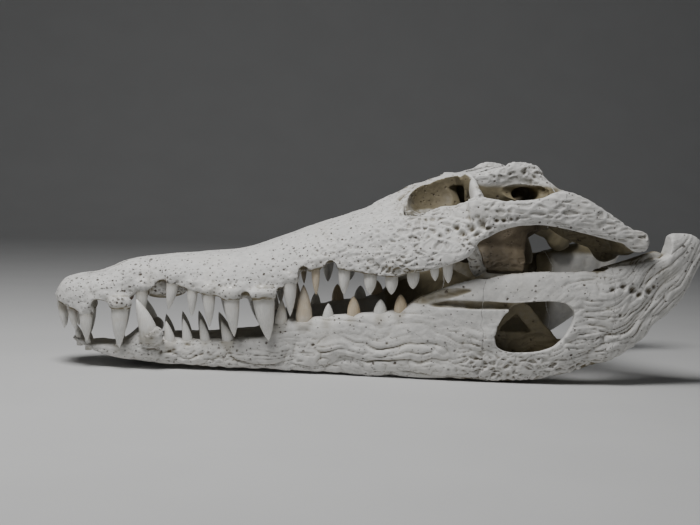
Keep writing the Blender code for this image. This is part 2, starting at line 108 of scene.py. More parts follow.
# ---- profiles: (station, value) -----------------------------------------------------------------
SNOUT_TOP = (
    (0, .056), (.0055, .0668), (.0195, .0728), (.035, .0758), (.058, .0845), (.09, .0895), (.122, .0928),
    (.155, .0968), (.188, .1085), (.223, .121), (.25, .1305), (.28, .142))
SNOUT_HALF_WIDTH = (
    (0, .004), (.003, .013), (.008, .0195), (.016, .025), (.028, .03), (.042, .033), (.053, .0325),
    (.062, .0275), (.073, .0245), (.083, .027), (.1, .036), (.118, .043), (.137, .0485), (.158, .0525),
    (.176, .051), (.196, .052), (.22, .057), (.245, .0645), (.275, .0735))
TOOTH_MARGIN = (
    (0, .053), (.007, .049), (.0265, .0445), (.035, .054), (.0535, .0495), (.063, .0565), (.076, .0605),
    (.086, .07), (.097, .067), (.112, .062), (.141, .0585), (.16, .057), (.172, .0605), (.183, .07),
    (.198, .0795), (.213, .085), (.232, .0825), (.262, .0795), (.28, .0835))
JAW_TOP = (
    (.012, .0205), (.02, .0225), (.03, .018), (.05, .018), (.06, .0215), (.07, .029), (.08, .024),
    (.12, .024), (.15, .026), (.166, .027), (.174, .033), (.18, .0405), (.2, .0435), (.23, .048),
    (.262, .0515), (.2755, .055), (.287, .065), (.3, .0715), (.331, .082), (.3685, .0875), (.4225, .0915),
    (.445, .0965), (.456, .1), (.468, .1045), (.475, .1075), (.478, .115), (.484, .12), (.4955, .1205),
    (.5045, .1165), (.51, .1115), (.514, .105))
JAW_BOTTOM = (
    (.012, .0225), (.02, .0175), (.035, .0105), (.058, .006), (.112, .002), (.15, .001), (.33, 0),
    (.368, .0003), (.39, .0045), (.409, .0105), (.4225, .0145), (.442, .0215), (.456, .032), (.467, .0425),
    (.481, .0545), (.493, .068), (.503, .0895), (.509, .1005), (.514, .1065))
JAW_OUTER = (
    (.012, .003), (.018, .011), (.025, .0155), (.035, .02), (.05, .025), (.06, .029), (.07, .032),
    (.085, .0305), (.112, .033), (.142, .0375), (.17, .043), (.19, .047), (.22, .054), (.265, .066),
    (.305, .078), (.345, .087), (.38, .093), (.41, .097), (.44, .099), (.47, .098), (.5, .095),
    (.514, .092))
JAW_INNER = (
    (.012, -.001), (.078, -.001), (.088, .005), (.1, .01), (.12, .0145), (.15, .0195), (.19, .028),
    (.22, .034), (.265, .0455), (.305, .0565), (.345, .0645), (.38, .07), (.41, .073), (.425, .071),
    (.44, .067), (.455, .066), (.468, .071), (.485, .077), (.514, .08))

# ---- teeth: (station of the base, half breadth of the row, base height, crown length,
#              width, lean of the tip towards the snout) -----------------------------------------
UPPER_TEETH = (
    (.0075, .009, .047, .0185, .0066, -.002), (.016, .017, .046, .0185, .0072, -.003),
    (.027, .024, .0435, .023, .0102, -.001), (.0537, .0335, .05, .0335, .013, 0),
    (.0703, .0235, .062, .025, .009, 0), (.0945, .031, .0695, .0225, .0092, .003),
    (.11, .0365, .0655, .023, .0082, 0), (.123, .0415, .0625, .0275, .0094, -.001),
    (.1405, .0455, .06, .032, .012, -.003), (.1655, .049, .061, .0355, .0165, -.005),
    (.1862, .0465, .0735, .0285, .0104, -.001), (.2062, .0475, .084, .0215, .0066, -.001),
    (.2285, .0525, .0865, .0225, .0094, 0), (.2485, .0575, .0835, .0185, .0102, 0),
    (.2648, .062, .0825, .017, .01, 0), (.2811, .066, .086, .0155, .01, 0),
    (.2968, .07, .0915, .014, .0072, -.001), (.3068, .0725, .094, .018, .008, -.001))
LOWER_TEETH = (
    (.0215, .0075, .018, .012, .0052, .004), (.0285, .012, .015, .012, .0054, .002),
    (.0535, .02, .015, .013, .006, .001), (.0765, .0325, .0285, .027, .014, .01),
    (.0938, .0245, .018, .0195, .0088, .004), (.1078, .0255, .0185, .0215, .0084, .0045),
    (.1218, .027, .019, .0215, .0084, .005), (.1398, .031, .021, .018, .0096, .006),
    (.1808, .0385, .036, .022, .01, 0), (.1988, .041, .0385, .0315, .0132, .001),
    (.2175, .045, .039, .017, .0096, 0), (.2376, .0495, .042, .0205, .0108, .001),
    (.2577, .0545, .044, .017, .0108, 0), (.2738, .0585, .048, .0175, .0108, .001))

# ---- how yellow single teeth are: (1 lower or -1 upper, station of the base) --------------------
TOOTH_TONE = {(-1, .2062): .70, (1, .1988): .60, (1, .2376): .85, (1, .2738): .85, (1, .1808): .30}

CAMERA_ANGLES = (8, 4.39, 1.71)        # turn, downward tilt and roll, in degrees
CAMERA_TARGET = (-.0169, 0, .0859)
SENSOR_WIDTH = 36
SKY_COLOUR = (.93, .96, 1, 1)

# ---- lamps: (name, place, target, size) ---------------------------------------------------------
LAMPS = (("key_light", (-.34, -.30, 1.00), (-.03, 0, .06), .40),
         ("fill_light", (.9, -1.5, .75), (0, 0, .08), 1.6))

# ---- rounded forms and openings: (centre, radii) ------------------------------------------------
FANG_SWELLING = ((.0790, .0320, .0270), (.0098, .0080, .0085))      # on the jaw, at its fourth tooth
NOTCH_FLOOR = ((.0875, .0140, .0635), (.0200, .0100, .0095))        # inside the notch for that tooth
MIDDLE_OPENINGS = (
    ((.040, 0, .090), (.0175, .0125, .027)), ((.056, 0, .074), (.028, .010, .0085)),
    ((.028, 0, .048), (.010, .006, .012)), ((.352, 0, .092), (.010, .009, .012)),
    ((.404, 0, .1405), (.022, .0085, .0072)))
SIDE_OPENINGS = (
    ((.262, .0385, .088), (.046, .0185, .027)), ((.353, .024, .160), (.014, .012, .030)),
    ((.364, .070, .1495), (.027, .022, .0085)), ((.373, .050, .1465), (.010, .040, .0058)),
    ((.1515, .050, .059), (.0045, .008, .0055)), ((.1785, .049, .063), (.004, .007, .005)),
    ((.1965, .050, .0795), (.0045, .009, .0058)), ((.2175, .053, .085), (.005, .009, .0055)),
    ((.352, .059, .122), (.028, .0135, .022)))

# ---- pits of the bone: (station, height, radius, depth) -----------------------------------------
CHEEK_PITS = (
    (.3049, .1176, .0027, .0026), (.3103, .1208, .003, .003), (.3144, .1162, .0035, .0034),
    (.3206, .1202, .0045, .004), (.3247, .1157, .0035, .003), (.3299, .1235, .0052, .0046),
    (.3345, .1205, .0032, .0028), (.3399, .1263, .0022, .0022), (.3454, .1272, .0025, .0024),
    (.3509, .1281, .0022, .0022), (.3556, .129, .0022, .0022), (.299, .114, .0024, .002),
    (.318, .1125, .0026, .002), (.328, .118, .0024, .0018))
TABLE_PITS = ((.3709, .1644, .003, .0022), (.36, .1625, .0016, .001), (.348, .16, .0014, .0008))
JAW_PITS = (
    (.4332, .0754, .003, .0026), (.4419, .0779, .0036, .0034), (.4493, .0757, .0044, .0042),
    (.4544, .0719, .0034, .003), (.4623, .0751, .0038, .0032), (.4662, .0783, .0026, .002),
    (.262, .027, .0014, .0012), (.205, .023, .0016, .0013), (.146, .016, .0013, .0011))

# ---- slots of the lower jaw: (station, height of the middle, breadth) ---------------------------
UPPER_SLOT = (
    (.28, .0612, .0025), (.2904, .0634, .0087), (.3023, .0667, .0084), (.3142, .0696, .0062),
    (.325, .0716, .0017))
LOWER_SLOT = (
    (.2925, .0585, .0012), (.3077, .06, .0054), (.325, .0603, .0062), (.34, .0602, .0054),
    (.355, .0602, .0044), (.372, .0612, .005))


class SkullSizes(bpy.types.PropertyGroup):
    """Fineness and relief of the finished skull."""
    cranium_grain: FloatProperty(name="Cranium grain",
                                 description="Size of the grains that the cranium is melted from",
                                 default=.0009, min=.0005, unit="LENGTH", precision=5)
    jaw_grain: FloatProperty(name="Jaw grain",
                             description="Size of the grains that the lower jaw is melted from",
                             default=.0009, min=.0005, unit="LENGTH", precision=5)
    suture_gap: FloatProperty(name="Suture gap", description="Width of the seams between the bones",
                              default=.00013, unit="LENGTH", precision=5)
    socket_gap: FloatProperty(name="Socket gap",
                              description="Room between a tooth and the rim of its socket",
                              default=.0005, unit="LENGTH", precision=5)
    relief: FloatProperty(name="Relief", description="Strength of the furrows and sculpture of the bone",
                          default=1, min=0, max=2)
    tooth_sides: IntProperty(name="Tooth sides", description="Points round each tooth", default=20, min=8)
    drop: FloatProperty(name="Drop",
                        description="How far the bones move so that the jaw rests on the floor",
                        default=0, unit="LENGTH", precision=5)


class SkullColours(bpy.types.PropertyGroup):
    """Colours of bone, patina, painted shade and teeth."""
    bone: FloatVectorProperty(name="Bone", description="Bleached bone", subtype="COLOR",
                              default=(.74, .73, .705))
    # Stained bone: real yellow-brown patina, also laid on as painted shade inside the arches, on inner
    # faces and under the palate.
    stained: FloatVectorProperty(name="Stained bone", description="Yellow-brown bone of the hollows",
                                 subtype="COLOR", default=(.205, .174, .106))
    # The dark colour below is painted shade, laid into the small pits, the creases and the deep openings.
    shade_colour: FloatVectorProperty(name="Shade Colour", description="Dirt in the small pits", subtype="COLOR",
                              default=(.085, .062, .042))
    root: FloatVectorProperty(name="Root stain", description="Red-brown bone between the teeth",
                              subtype="COLOR", default=(.24, .125, .065))
    enamel: FloatVectorProperty(name="Enamel", description="Crowns of the teeth", subtype="COLOR",
                                default=(.80, .79, .755))
    cream: FloatVectorProperty(name="Cream enamel", description="Crowns that have yellowed",
                               subtype="COLOR", default=(.62, .50, .335))
    bone_roughness: FloatProperty(name="Bone roughness", description="How matt the bone is", default=.62,
                                  min=0, max=1)
    enamel_roughness: FloatProperty(name="Enamel roughness", description="How matt the teeth are",
                                    default=.30, min=0, max=1)


class StageLook(bpy.types.PropertyGroup):
    """Floor, light and camera."""
    floor: FloatVectorProperty(name="Floor", description="Plain floor and backdrop", subtype="COLOR",
                               default=(.56, .56, .555))
    key_power: FloatProperty(name="Key light",
                             description="Power of the lamp ahead of the snout, above it",
                             default=11.5, unit="POWER")
    fill_power: FloatProperty(name="Fill light", description="Power of the lamp beside the camera",
                              default=.9, unit="POWER")
    sky: FloatProperty(name="Room light", description="Strength of the even light of the room",
                       default=.055)
    lens: FloatProperty(name="Lens", description="Focal length on a 36 mm sensor, in millimetres",
                        default=65.31)
    distance: FloatProperty(name="Distance", description="From the camera to the middle of the skull",
                            default=1.0551, unit="LENGTH")


# ---- curves -------------------------------------------------------------------------------------
def smooth_curve(points):
    """A monotone cubic through (station, value, ...) points, as a function."""
    at = np.array([p[0] for p in points], float)
    value = np.array([p[1:] for p in points], float)
    step = np.diff(at)[:, None]
    slope = np.diff(value, axis=0) / step
    tangent = np.vstack([slope[:1], (slope[:-1] + slope[1:]) / 2, slope[-1:]])
    tangent[1:-1][slope[:-1] * slope[1:] <= 0] = 0
    limit = 3 * np.minimum(np.abs(slope[:-1]), np.abs(slope[1:]))
    tangent[1:-1] = np.clip(tangent[1:-1], -limit, limit)

    def read(s):
        s = min(max(s, at[0]), at[-1])
        i = min(int(np.searchsorted(at, s, side="right")) - 1, len(at) - 2)
        t = (s - at[i]) / step[i, 0]
        low = value[i] * (1 + 2 * t) * (1 - t) ** 2 + tangent[i] * step[i] * t * (1 - t) ** 2
        high = value[i + 1] * t * t * (3 - 2 * t) - tangent[i + 1] * step[i] * t * t * (1 - t)
        found = low + high
        return float(found[0]) if len(found) == 1 else found
    return read


def sampled(curve):
    """The same curve for a whole array of stations."""
    at = np.linspace(0, LENGTH, 600)
    value = np.array([curve(s) for s in at])
    return lambda s: np.interp(s, at, value)


snout_top = smooth_curve(SNOUT_TOP)
snout_half = smooth_curve(SNOUT_HALF_WIDTH)
tooth_margin = smooth_curve(TOOTH_MARGIN)
jaw_top = smooth_curve(JAW_TOP)
jaw_bottom = smooth_curve(JAW_BOTTOM)
jaw_outer = smooth_curve(JAW_OUTER)
jaw_inner = smooth_curve(JAW_INNER)


# ---- closed volumes, gathered in one mesh -------------------------------------------------------
def skin(mesh, rings):
    """Skin a row of rings with equal counts and close both ends."""
    loops = [[mesh.verts.new(point) for point in ring] for ring in rings]
    count = len(loops[0])
    for near, far in zip(loops, loops[1:]):
        for i in range(count):
            j = (i + 1) % count
            mesh.faces.new((near[i], near[j], far[j], far[i]))
    mesh.faces.new(list(reversed(loops[0])))
    mesh.faces.new(loops[-1])


def place(s, y, z):
    """A point of the skull at a station, in world coordinates."""
    return Vector((s - CENTRE, y, z))


def bend(value, power):
    """A signed power, for superellipses."""
    return math.copysign(abs(value) ** power, value)


def turns(count):
    """Equal turns round a circle, in radians."""
    return [2 * math.pi * k / count for k in range(count)]


def wound(ring, side):
    """A ring of points in the turning sense that faces outward on its side."""
    return ring if side > 0 else ring[::-1]


def bar(mesh, side, stations, facing=(0, 0, 1), power=.8):
    """A bar of oval section along (s, y, z, width, height) stations on one side of the skull."""
    rows = np.array(stations, float)
    chord = np.linalg.norm(np.diff(rows[:, :3], axis=0), axis=1)
    along = np.concatenate([[0], np.cumsum(chord)])
    path = smooth_curve([(a, *row) for a, row in zip(along, rows)])
    ticks = np.linspace(0, along[-1], BAR_STEPS * (len(rows) - 1) + 1)
    spots = [path(t) for t in ticks]
    rings = []
    for i, spot in enumerate(spots):
        before = spots[max(i - 1, 0)]
        after = spots[min(i + 1, len(spots) - 1)]
        ahead = Vector((after - before)[:3]).normalized()
        across = Vector(facing).cross(ahead).normalized()
        up = ahead.cross(across)
        ring = []
        for turn in turns(BAR_SIDES):
            offset = across * bend(math.cos(turn), power) * spot[3] / 2
            offset += up * bend(math.sin(turn), power) * spot[4] / 2
            point = Vector(spot[:3]) + offset
            ring.append(place(point.x, point.y * side, point.z))
        rings.append(wound(ring, side))
    skin(mesh, rings)


def egg(mesh, side, centre, radii):
    """An ellipsoid on one side of the skull."""
    made = bmesh.ops.create_uvsphere(mesh, u_segments=28, v_segments=18, radius=1)["verts"]
    for vert in made:
        local = [a * b for a, b in zip(vert.co, radii)]
        vert.co = place(centre[0] + local[0], side * centre[1] + local[1], centre[2] + local[2])


def prism(mesh, side, outline, near, far):
    """A flat outline of (station, height) points, carried from one breadth to another."""
    skin(mesh, [wound([place(s, side * y, z) for s, z in outline], side) for y in (near, far)])


# ---- volumes of the cranium ---------------------------------------------------------------------
def add_snout(mesh):
    """Snout from the tip to the front of the orbits: a low dome over a vaulted palate."""
    rows, dome, floor = 120, 48, 24      # rings, and steps over the dome and across the palate
    rings = []
    for s in [SNOUT_END * (k / rows) ** 1.25 for k in range(rows + 1)]:
        half, low, top = snout_half(s), tooth_margin(s), snout_top(s)
        ring = []
        for k in range(dome + 1):
            turn = math.pi * k / dome
            y = half * bend(math.cos(turn), .82)
            z = low + (top - low) * math.sin(turn) ** .86
            ring.append(place(s, y, z))
        for k in range(1, floor):
            y = -half + 2 * half * k / floor
            vault = .007 * min(half / .05, 1) * max(0, 1 - (y / (half * .80)) ** 2) ** .5
            ring.append(place(s, y, low + vault))
        rings.append(ring)
    skin(mesh, rings)


def add_sockets(mesh, side, teeth, sign):
    """A swollen collar of bone round the root of each tooth."""
    for s, y, z, _, width, lean in teeth:
        radii = (width * .78, width * .66, .0075)
        egg(mesh, side, (s + lean * .2, y - .0005, z + .0022 * (-sign)), radii)


def add_roof(mesh, side):
    """Frontal, orbital rims, skull table and the bars behind the orbits, one side."""
    bar(mesh, side, (
        (.24, .01, .116, .03, .012), (.262, .009, .129, .028, .01), (.285, .005, .1422, .021, .0075),
        (.305, .007, .1505, .024, .0075), (.322, .014, .1555, .04, .009), (.335, .02, .1575, .05, .01)),
        power=.6)
    bar(mesh, side, (
        (.242, .028, .1175, .008, .006), (.26, .023, .13, .008, .007), (.28, .0165, .1412, .007, .007),
        (.302, .0165, .15, .007, .0065), (.317, .028, .1552, .009, .0075), (.328, .039, .1565, .011, .01)))
    bar(mesh, side, (
        (.324, .018, .1565, .044, .01), (.34, .02, .158, .048, .011), (.362, .022, .1635, .05, .012),
        (.383, .023, .16, .05, .013)), power=.5)
    bar(mesh, side, (
        (.326, .0405, .156, .01, .01), (.3365, .0425, .158, .01, .009), (.353, .0455, .1605, .01, .013),
        (.366, .048, .164, .0105, .019), (.377, .05, .1638, .011, .0172), (.387, .0525, .1548, .013, .012),
        (.395, .056, .1475, .014, .0125), (.402, .058, .143, .014, .013)), power=.7)
    bar(mesh, side, (
        (.329, .0415, .155, .015, .008), (.329, .053, .152, .015, .007), (.328, .067, .147, .016, .008),
        (.328, .081, .139, .018, .01)), facing=(1, 0, 0))


def add_cheek(mesh, side):
    """Jugal and quadratojugal: the plate below the orbit, leaning in, and the bar behind it."""
    bar(mesh, side, (
        (.222, .048, .098, .008, .018), (.25, .056, .103, .011, .034), (.268, .062, .1065, .0135, .045),
        (.285, .067, .108, .013, .051), (.3, .0715, .112, .012, .05), (.312, .0755, .1168, .011, .049),
        (.3225, .0805, .1245, .01, .038), (.334, .085, .1285, .01, .033)), facing=(0, -.42, 1), power=.7)
    bar(mesh, side, (
        (.322, .082, .126, .01, .036), (.334, .0855, .1288, .01, .032), (.345, .088, .1307, .01, .0245),
        (.356, .0905, .1327, .01, .0215), (.3673, .0925, .1337, .01, .021),
        (.3787, .0945, .1348, .01, .0245), (.39, .0965, .1365, .01, .0305),
        (.4084, .0985, .1315, .01, .0265), (.4274, .1, .1237, .01, .0205), (.44, .1003, .1183, .01, .0158),
        (.452, .1002, .1125, .009, .013), (.458, .1, .1105, .009, .011)), power=.7)


def add_condyle(mesh, side, room):
    """The double roller of the jaw joint, or with some room, the seat it turns in."""
    bar(mesh, side, (
        (.445, .066 - room, .108, .017 + room, .016 + room), (.448, .078, .11, .020 + room, .019 + room),
        (.45, .09, .113, .019 + room, .018 + room), (.451, .103 + room, .1138, .018 + room, .018 + room)))


def add_foot(mesh, side, room):
    """The inner foot of the quadrate, beside the joint, or with some room, its bay in the jaw."""
    bar(mesh, side, (
        (.412, .062, .129, .008 + room, .008 + room), (.424, .062, .12, .010 + room, .014 + room),
        (.433, .062, .1095, .010 + room, .020 + room), (.4375, .062, .1025, .011 + room, .018 + room),
        (.446, .065, .104, .011 + room, .013 + room)))


def add_quadrate(mesh, side):
    """Quadrate from the ear region to the jaw joint, with its double condyle."""
    bar(mesh, side, (
        (.338, .02, .148, .012, .012), (.354, .035, .148, .022, .015), (.372, .045, .147, .034, .016),
        (.395, .062, .1425, .046, .015), (.415, .076, .134, .046, .013), (.435, .084, .1205, .042, .0135),
        (.45, .0865, .1125, .038, .017)), power=.75)
    bar(mesh, side, (
        (.392, .044, .134, .01, .022), (.412, .056, .125, .011, .03), (.43, .064, .1155, .013, .024),
        (.444, .069, .1085, .015, .016)), power=.75)
    add_condyle(mesh, side, 0)
    bar(mesh, side, (
        (.388, .015, .142, .009, .02), (.394, .04, .1435, .009, .02), (.401, .062, .1415, .01, .02)),
        power=.7)
    add_foot(mesh, side, 0)


def add_braincase(mesh):
    """Braincase, the wall between the orbits, basioccipital and the ball of the neck joint."""
    bar(mesh, 1, (
        (.326, 0, .146, .022, .024), (.345, 0, .142, .034, .036), (.368, 0, .139, .042, .042),
        (.39, 0, .14, .05, .038)), power=.7)
    bar(mesh, 1, (
        (.374, 0, .132, .034, .022), (.382, 0, .11, .032, .017), (.389, 0, .093, .03, .012),
        (.39, 0, .087, .026, .009)), facing=(1, 0, 0))
    bar(mesh, 1, (
        (.258, 0, .113, .006, .04), (.29, 0, .123, .006, .048), (.326, 0, .132, .008, .048),
        (.345, 0, .138, .01, .046)), power=.7)
    egg(mesh, 1, (.4035, 0, .1235), (.0085, .009, .0085))
    bar(mesh, 1, ((.385, 0, .1235, .024, .02), (.398, 0, .1235, .014, .013)))


def add_palate(mesh, side):
    """Palatine, pterygoid with its wing, and ectopterygoid, one side."""
    bar(mesh, side, (
        (.195, .008, .088, .024, .014), (.225, .006, .093, .021, .013), (.255, .006, .096, .019, .013),
        (.285, .008, .0985, .021, .013), (.305, .011, .1, .028, .011), (.33, .012, .101, .034, .01),
        (.358, .011, .1, .032, .011), (.38, .008, .101, .026, .014)), power=.7)
    bar(mesh, side, (
        (.35, .012, .106, .04, .01), (.354, .03, .106, .04, .0085), (.3565, .045, .101, .039, .0075),
        (.357, .055, .0925, .037, .0075), (.357, .0605, .0835, .033, .008)), power=.75)
    bar(mesh, side, (
        (.322, .016, .108, .007, .022), (.345, .02, .115, .007, .038), (.365, .026, .122, .007, .04),
        (.385, .038, .13, .008, .03), (.402, .055, .133, .009, .018)), power=.7)
    bar(mesh, side, (
        (.295, .07, .106, .009, .02), (.31, .0715, .108, .009, .02), (.3225, .0715, .105, .008, .016),
        (.329, .0685, .097, .0075, .013), (.332, .065, .089, .0075, .013), (.337, .062, .0835, .008, .014)),
        facing=(1, 0, 0), power=.75)


def add_inner_walls(mesh, side):
    """Plates inside the lower temporal opening, behind the orbit and inside it, one side."""
    bar(mesh, side, (
        (.328, .043, .106, .007, .04), (.345, .044, .1085, .007, .05), (.362, .0445, .108, .007, .054),
        (.3775, .044, .1065, .006, .052)), power=.7)
    bar(mesh, side, ((.366, .0445, .124, .007, .02), (.3855, .0445, .1245, .006, .016)), power=.7)
    bar(mesh, side, (
        (.325, .04, .15, .01, .026), (.34, .043, .15, .01, .026), (.362, .045, .15, .01, .024)), power=.7)
    bar(mesh, side, (
        (.262, .04, .104, .014, .028), (.276, .039, .1165, .016, .031), (.29, .028, .1295, .018, .034),
        (.305, .019, .137, .016, .036), (.326, .015, .14, .014, .036)), facing=(0, -.5, 1), power=.7)


def cranium_cutters(mesh):
    """Openings in the middle plane, the orbits, and the other openings and gaps of both sides."""
    for centre, radii in MIDDLE_OPENINGS:
        egg(mesh, 1, centre, radii)
    for side in (-1, 1):
        bar(mesh, side, (
            (.2685, .063, .1605, .016, .057), (.277, .0585, .159, .024, .062),
            (.288, .051, .158, .036, .0635), (.3, .0435, .1585, .047, .063), (.311, .0415, .16, .048, .061),
            (.3195, .0415, .1625, .034, .056)))
        for centre, radii in SIDE_OPENINGS:
            egg(mesh, side, centre, radii)


# ---- volumes of the lower jaw -------------------------------------------------------------------
def add_jaw(mesh, side):
    """Lower jaw of one side as one solid, from the symphysis to the retroarticular process."""
    rows = 220
    rings = []
    for s in [JAW_START + (LENGTH - JAW_START) * k / rows for k in range(rows + 1)]:
        outer, inner, low, top = jaw_outer(s), jaw_inner(s), jaw_bottom(s), jaw_top(s)
        middle, height = (low + top) / 2, max((top - low) / 2, .0004)
        centre, half = (outer + inner) / 2, (outer - inner) / 2
        ring = []
        for turn in turns(JAW_SIDES):
            y = centre + half * bend(math.cos(turn), .55)
            z = middle + height * bend(math.sin(turn), .62)
            ring.append(place(s, side * y, z))
        rings.append(wound(ring, side))
    skin(mesh, rings)


def cut_muscle_hollow(mesh, side):
    """Hollow for the jaw muscles between the outer and the inner wall."""
    rows = []
    for s, low, top in (
            (.29, .06, .08), (.305, .04, .1), (.325, .022, .11), (.35, .014, .11), (.38, .018, .11),
            (.4, .03, .11), (.42, .055, .11), (.43, .08, .11)):
        outer = jaw_outer(s) - .0075
        inner = jaw_inner(s) + (.0045 if s < .40 else .008)
        ring = [place(s, side * y, z) for y, z in ((inner, low), (outer, low), (outer, top), (inner, top))]
        rows.append(wound(ring, side))
    skin(mesh, rows)


def cut_window(mesh, side):
    """Slanted oval window in the outer wall."""
    station, height, slant = .3735, .0445, .45
    window = []
    for turn in turns(JAW_SIDES):
        z = height + .0200 * bend(math.sin(turn), .75)
        window.append((station + .0275 * bend(math.cos(turn), .75) + slant * (z - height), z))
    prism(mesh, side, window, .0785, .11)


def jaw_cutters(mesh, side):
    """Muscle hollow, outer window, open rear of the inner wall, seat of the condyle and outer slots."""
    cut_muscle_hollow(mesh, side)
    cut_window(mesh, side)
    prism(mesh, side, (
        (.286, .09), (.33, .083), (.3745, .06), (.396, .0335), (.408, .033), (.421, .055), (.424, .12),
        (.286, .12))[::-1], .03, .08)
    prism(mesh, side, ((.35, .039), (.3755, .039), (.3645, .052)), .05, .079)
    add_condyle(mesh, side, .003)
    add_foot(mesh, side, .002)
    prism(mesh, side, (
        (.464, .1052), (.47, .1052), (.479, .1022), (.4804, .11), (.4804, .13),
        (.464, .13))[::-1], .06, .125)
    prism(mesh, side, (
        (.4133, .0906), (.4229, .0915), (.439, .0934), (.4551, .096), (.4647, .0982), (.4744, .1007),
        (.479, .1022), (.4804, .13), (.415, .13))[::-1], .088, .125)
    for slot, depth in ((UPPER_SLOT, .0075), (LOWER_SLOT, .0108)):
        bar(mesh, side, [(s, jaw_outer(s), z, depth, height) for s, z, height in slot])


# ---- from volumes to bones ----------------------------------------------------------------------
def mesh_object(name, mesh):
    """A bmesh as an object of the scene."""
    bmesh.ops.recalc_face_normals(mesh, faces=mesh.faces)
    data = bpy.data.meshes.new(name)
    mesh.to_mesh(data)
    mesh.free()
    made = bpy.data.objects.new(name, data)
    bpy.context.scene.collection.objects.link(made)
    return made


def settled(thing, name):
    """The object with its modifiers applied, under a new name; the first one is removed."""
    view = bpy.context.evaluated_depsgraph_get()
    data = bpy.data.meshes.new_from_object(thing.evaluated_get(view))
    made = bpy.data.objects.new(name, data)
    bpy.context.scene.collection.objects.link(made)
    bpy.data.objects.remove(thing)
    return made


def melt(thing, grain, passes, name):
    """Melt overlapping volumes into one skin of bone and smooth it."""
    remesh = thing.modifiers.new("melt", "REMESH")
    remesh.mode = "VOXEL"
    remesh.voxel_size = grain
    soften = thing.modifiers.new("soften", "SMOOTH")
    soften.factor = .5
    soften.iterations = passes
    return settled(thing, name)


def combine(thing, other, how, name):
    """Boolean of two objects; both are used up."""
    step = thing.modifiers.new(how.lower(), "BOOLEAN")
    step.operation = how
    step.solver = "MANIFOLD"
    step.object = other
    made = settled(thing, name)
    bpy.data.objects.remove(other)
    if not made.data.polygons:
        raise RuntimeError(f"nothing is left of {name}")
    return made


def copy_of(thing, name):
    """A copy with its own mesh."""
    made = bpy.data.objects.new(name, thing.data.copy())
    bpy.context.scene.collection.objects.link(made)
    return made


def largest_piece(thing):
    """Keep only the largest connected piece of a mesh."""
    data = thing.data
    ends = np.empty(len(data.edges) * 2, np.int32)
    data.edges.foreach_get("vertices", ends)
    ends = ends.reshape(-1, 2)
    label = np.arange(len(data.vertices))
    while True:
        low = np.minimum(label[ends[:, 0]], label[ends[:, 1]])
        fresh = label.copy()
        np.minimum.at(fresh, ends[:, 0], low)
        np.minimum.at(fresh, ends[:, 1], low)
        fresh = fresh[fresh]
        if np.array_equal(fresh, label):
            break
        label = fresh
    names, counts = np.unique(label, return_counts=True)
    if len(names) == 1:
        return
    stray = np.flatnonzero(label != names[np.argmax(counts)])
    mesh = bmesh.new()
    mesh.from_mesh(data)
    mesh.verts.ensure_lookup_table()
    bmesh.ops.delete(mesh, geom=[mesh.verts[i] for i in stray], context="VERTS")
    mesh.to_mesh(data)
    mesh.free()


# ---- relief, as a lift of every point along its normal ------------------------------------------
def lattice_noise(points, seed):
    """Smooth noise in -1..1 at an (n, 3) array of points, about one bump per unit."""
    cell = np.floor(points).astype(np.int64)
    part = points - cell
    ease = part * part * (3 - 2 * part)
    total = np.zeros(len(points))
    for corner in range(8):
        step = np.array([corner & 1, corner >> 1 & 1, corner >> 2 & 1])
        weight = np.prod(np.where(step, ease, 1 - ease), axis=1)
        total += weight * scrambled(cell + step, seed)
    return total


def scrambled(cell, seed):
    """A fixed value in -1..1 for each whole-numbered cell."""
    bits = cell[:, 0] * 73856093 ^ cell[:, 1] * 19349663 ^ cell[:, 2] * 83492791 ^ seed * 2654435761
    bits = (bits ^ bits >> 13) * 1274126177 & 0xffffffff
    bits = (bits ^ bits >> 16) * 2246822519 & 0xffffffff
    return ((bits >> 8) & 0xffff) / 32767.5 - 1


def nearest_dots(points, seed):
    """Distance to the nearest of a scatter of dots, room to the next, and a chance value of its cell."""
    cell = np.floor(points).astype(np.int64)
    first = np.full(len(points), 9.0)
    second = np.full(len(points), 9.0)
    chance = np.zeros(len(points))
    for offset in itertools.product((-1, 0, 1), repeat=3):
        near = cell + np.array(offset)
        dot = near + .5 + .45 * np.stack([scrambled(near, seed + axis) for axis in range(3)], axis=1)
        away = ((points - dot) ** 2).sum(axis=1)
        closer = away < first
        second = np.where(closer, first, np.minimum(second, away))
        first = np.where(closer, away, first)
        chance = np.where(closer, scrambled(near, seed + 7) * .5 + .5, chance)
    return np.sqrt(first), np.sqrt(second) - np.sqrt(first), chance


def fade(value, low, high):
    """0 below low, 1 above high, eased between."""
    t = np.clip((value - low) / (high - low), 0, 1)
    return t * t * (3 - 2 * t)


def ebb(value, low, high):
    """1 below low, 0 above high, eased between."""
    return 1 - fade(value, low, high)


def placed(spots):
    """Station, breadth and height of an array of points."""
    return spots[:, 0] + CENTRE, np.abs(spots[:, 1]), spots[:, 2]


def outwardness(spots, facing, low, high):
    """1 where the bone faces away from the middle plane, 0 where it faces it, eased between."""
    return fade(facing[:, 1] * np.sign(spots[:, 1]), low, high)


def lumps(spots, *layers):
    """Smooth noises on top of each other, each with its height, breadth and seed."""
    return sum(height * lattice_noise(spots / breadth, seed) for height, breadth, seed in layers)


def read_points(data):
    """Points and normals of a mesh as arrays."""
    spots = np.empty(len(data.vertices) * 3, np.float32)
    data.vertices.foreach_get("co", spots)
    facing = np.empty(len(data.vertices) * 3, np.float32)
    data.vertex_normals.foreach_get("vector", facing)
    return spots.reshape(-1, 3).astype(float), facing.reshape(-1, 3).astype(float)


def write_points(data, spots):
    """Put an array of points back in a mesh."""
    data.vertices.foreach_set("co", spots.astype(np.float32).ravel())
    data.update()


def write_mask(data, name, values):
    """Keep a value between 0 and 1 for each point, for the materials to read."""
    layer = data.attributes.new(name, "FLOAT", "POINT")
    layer.data.foreach_set("value", np.clip(values, 0, 1).astype(np.float32))


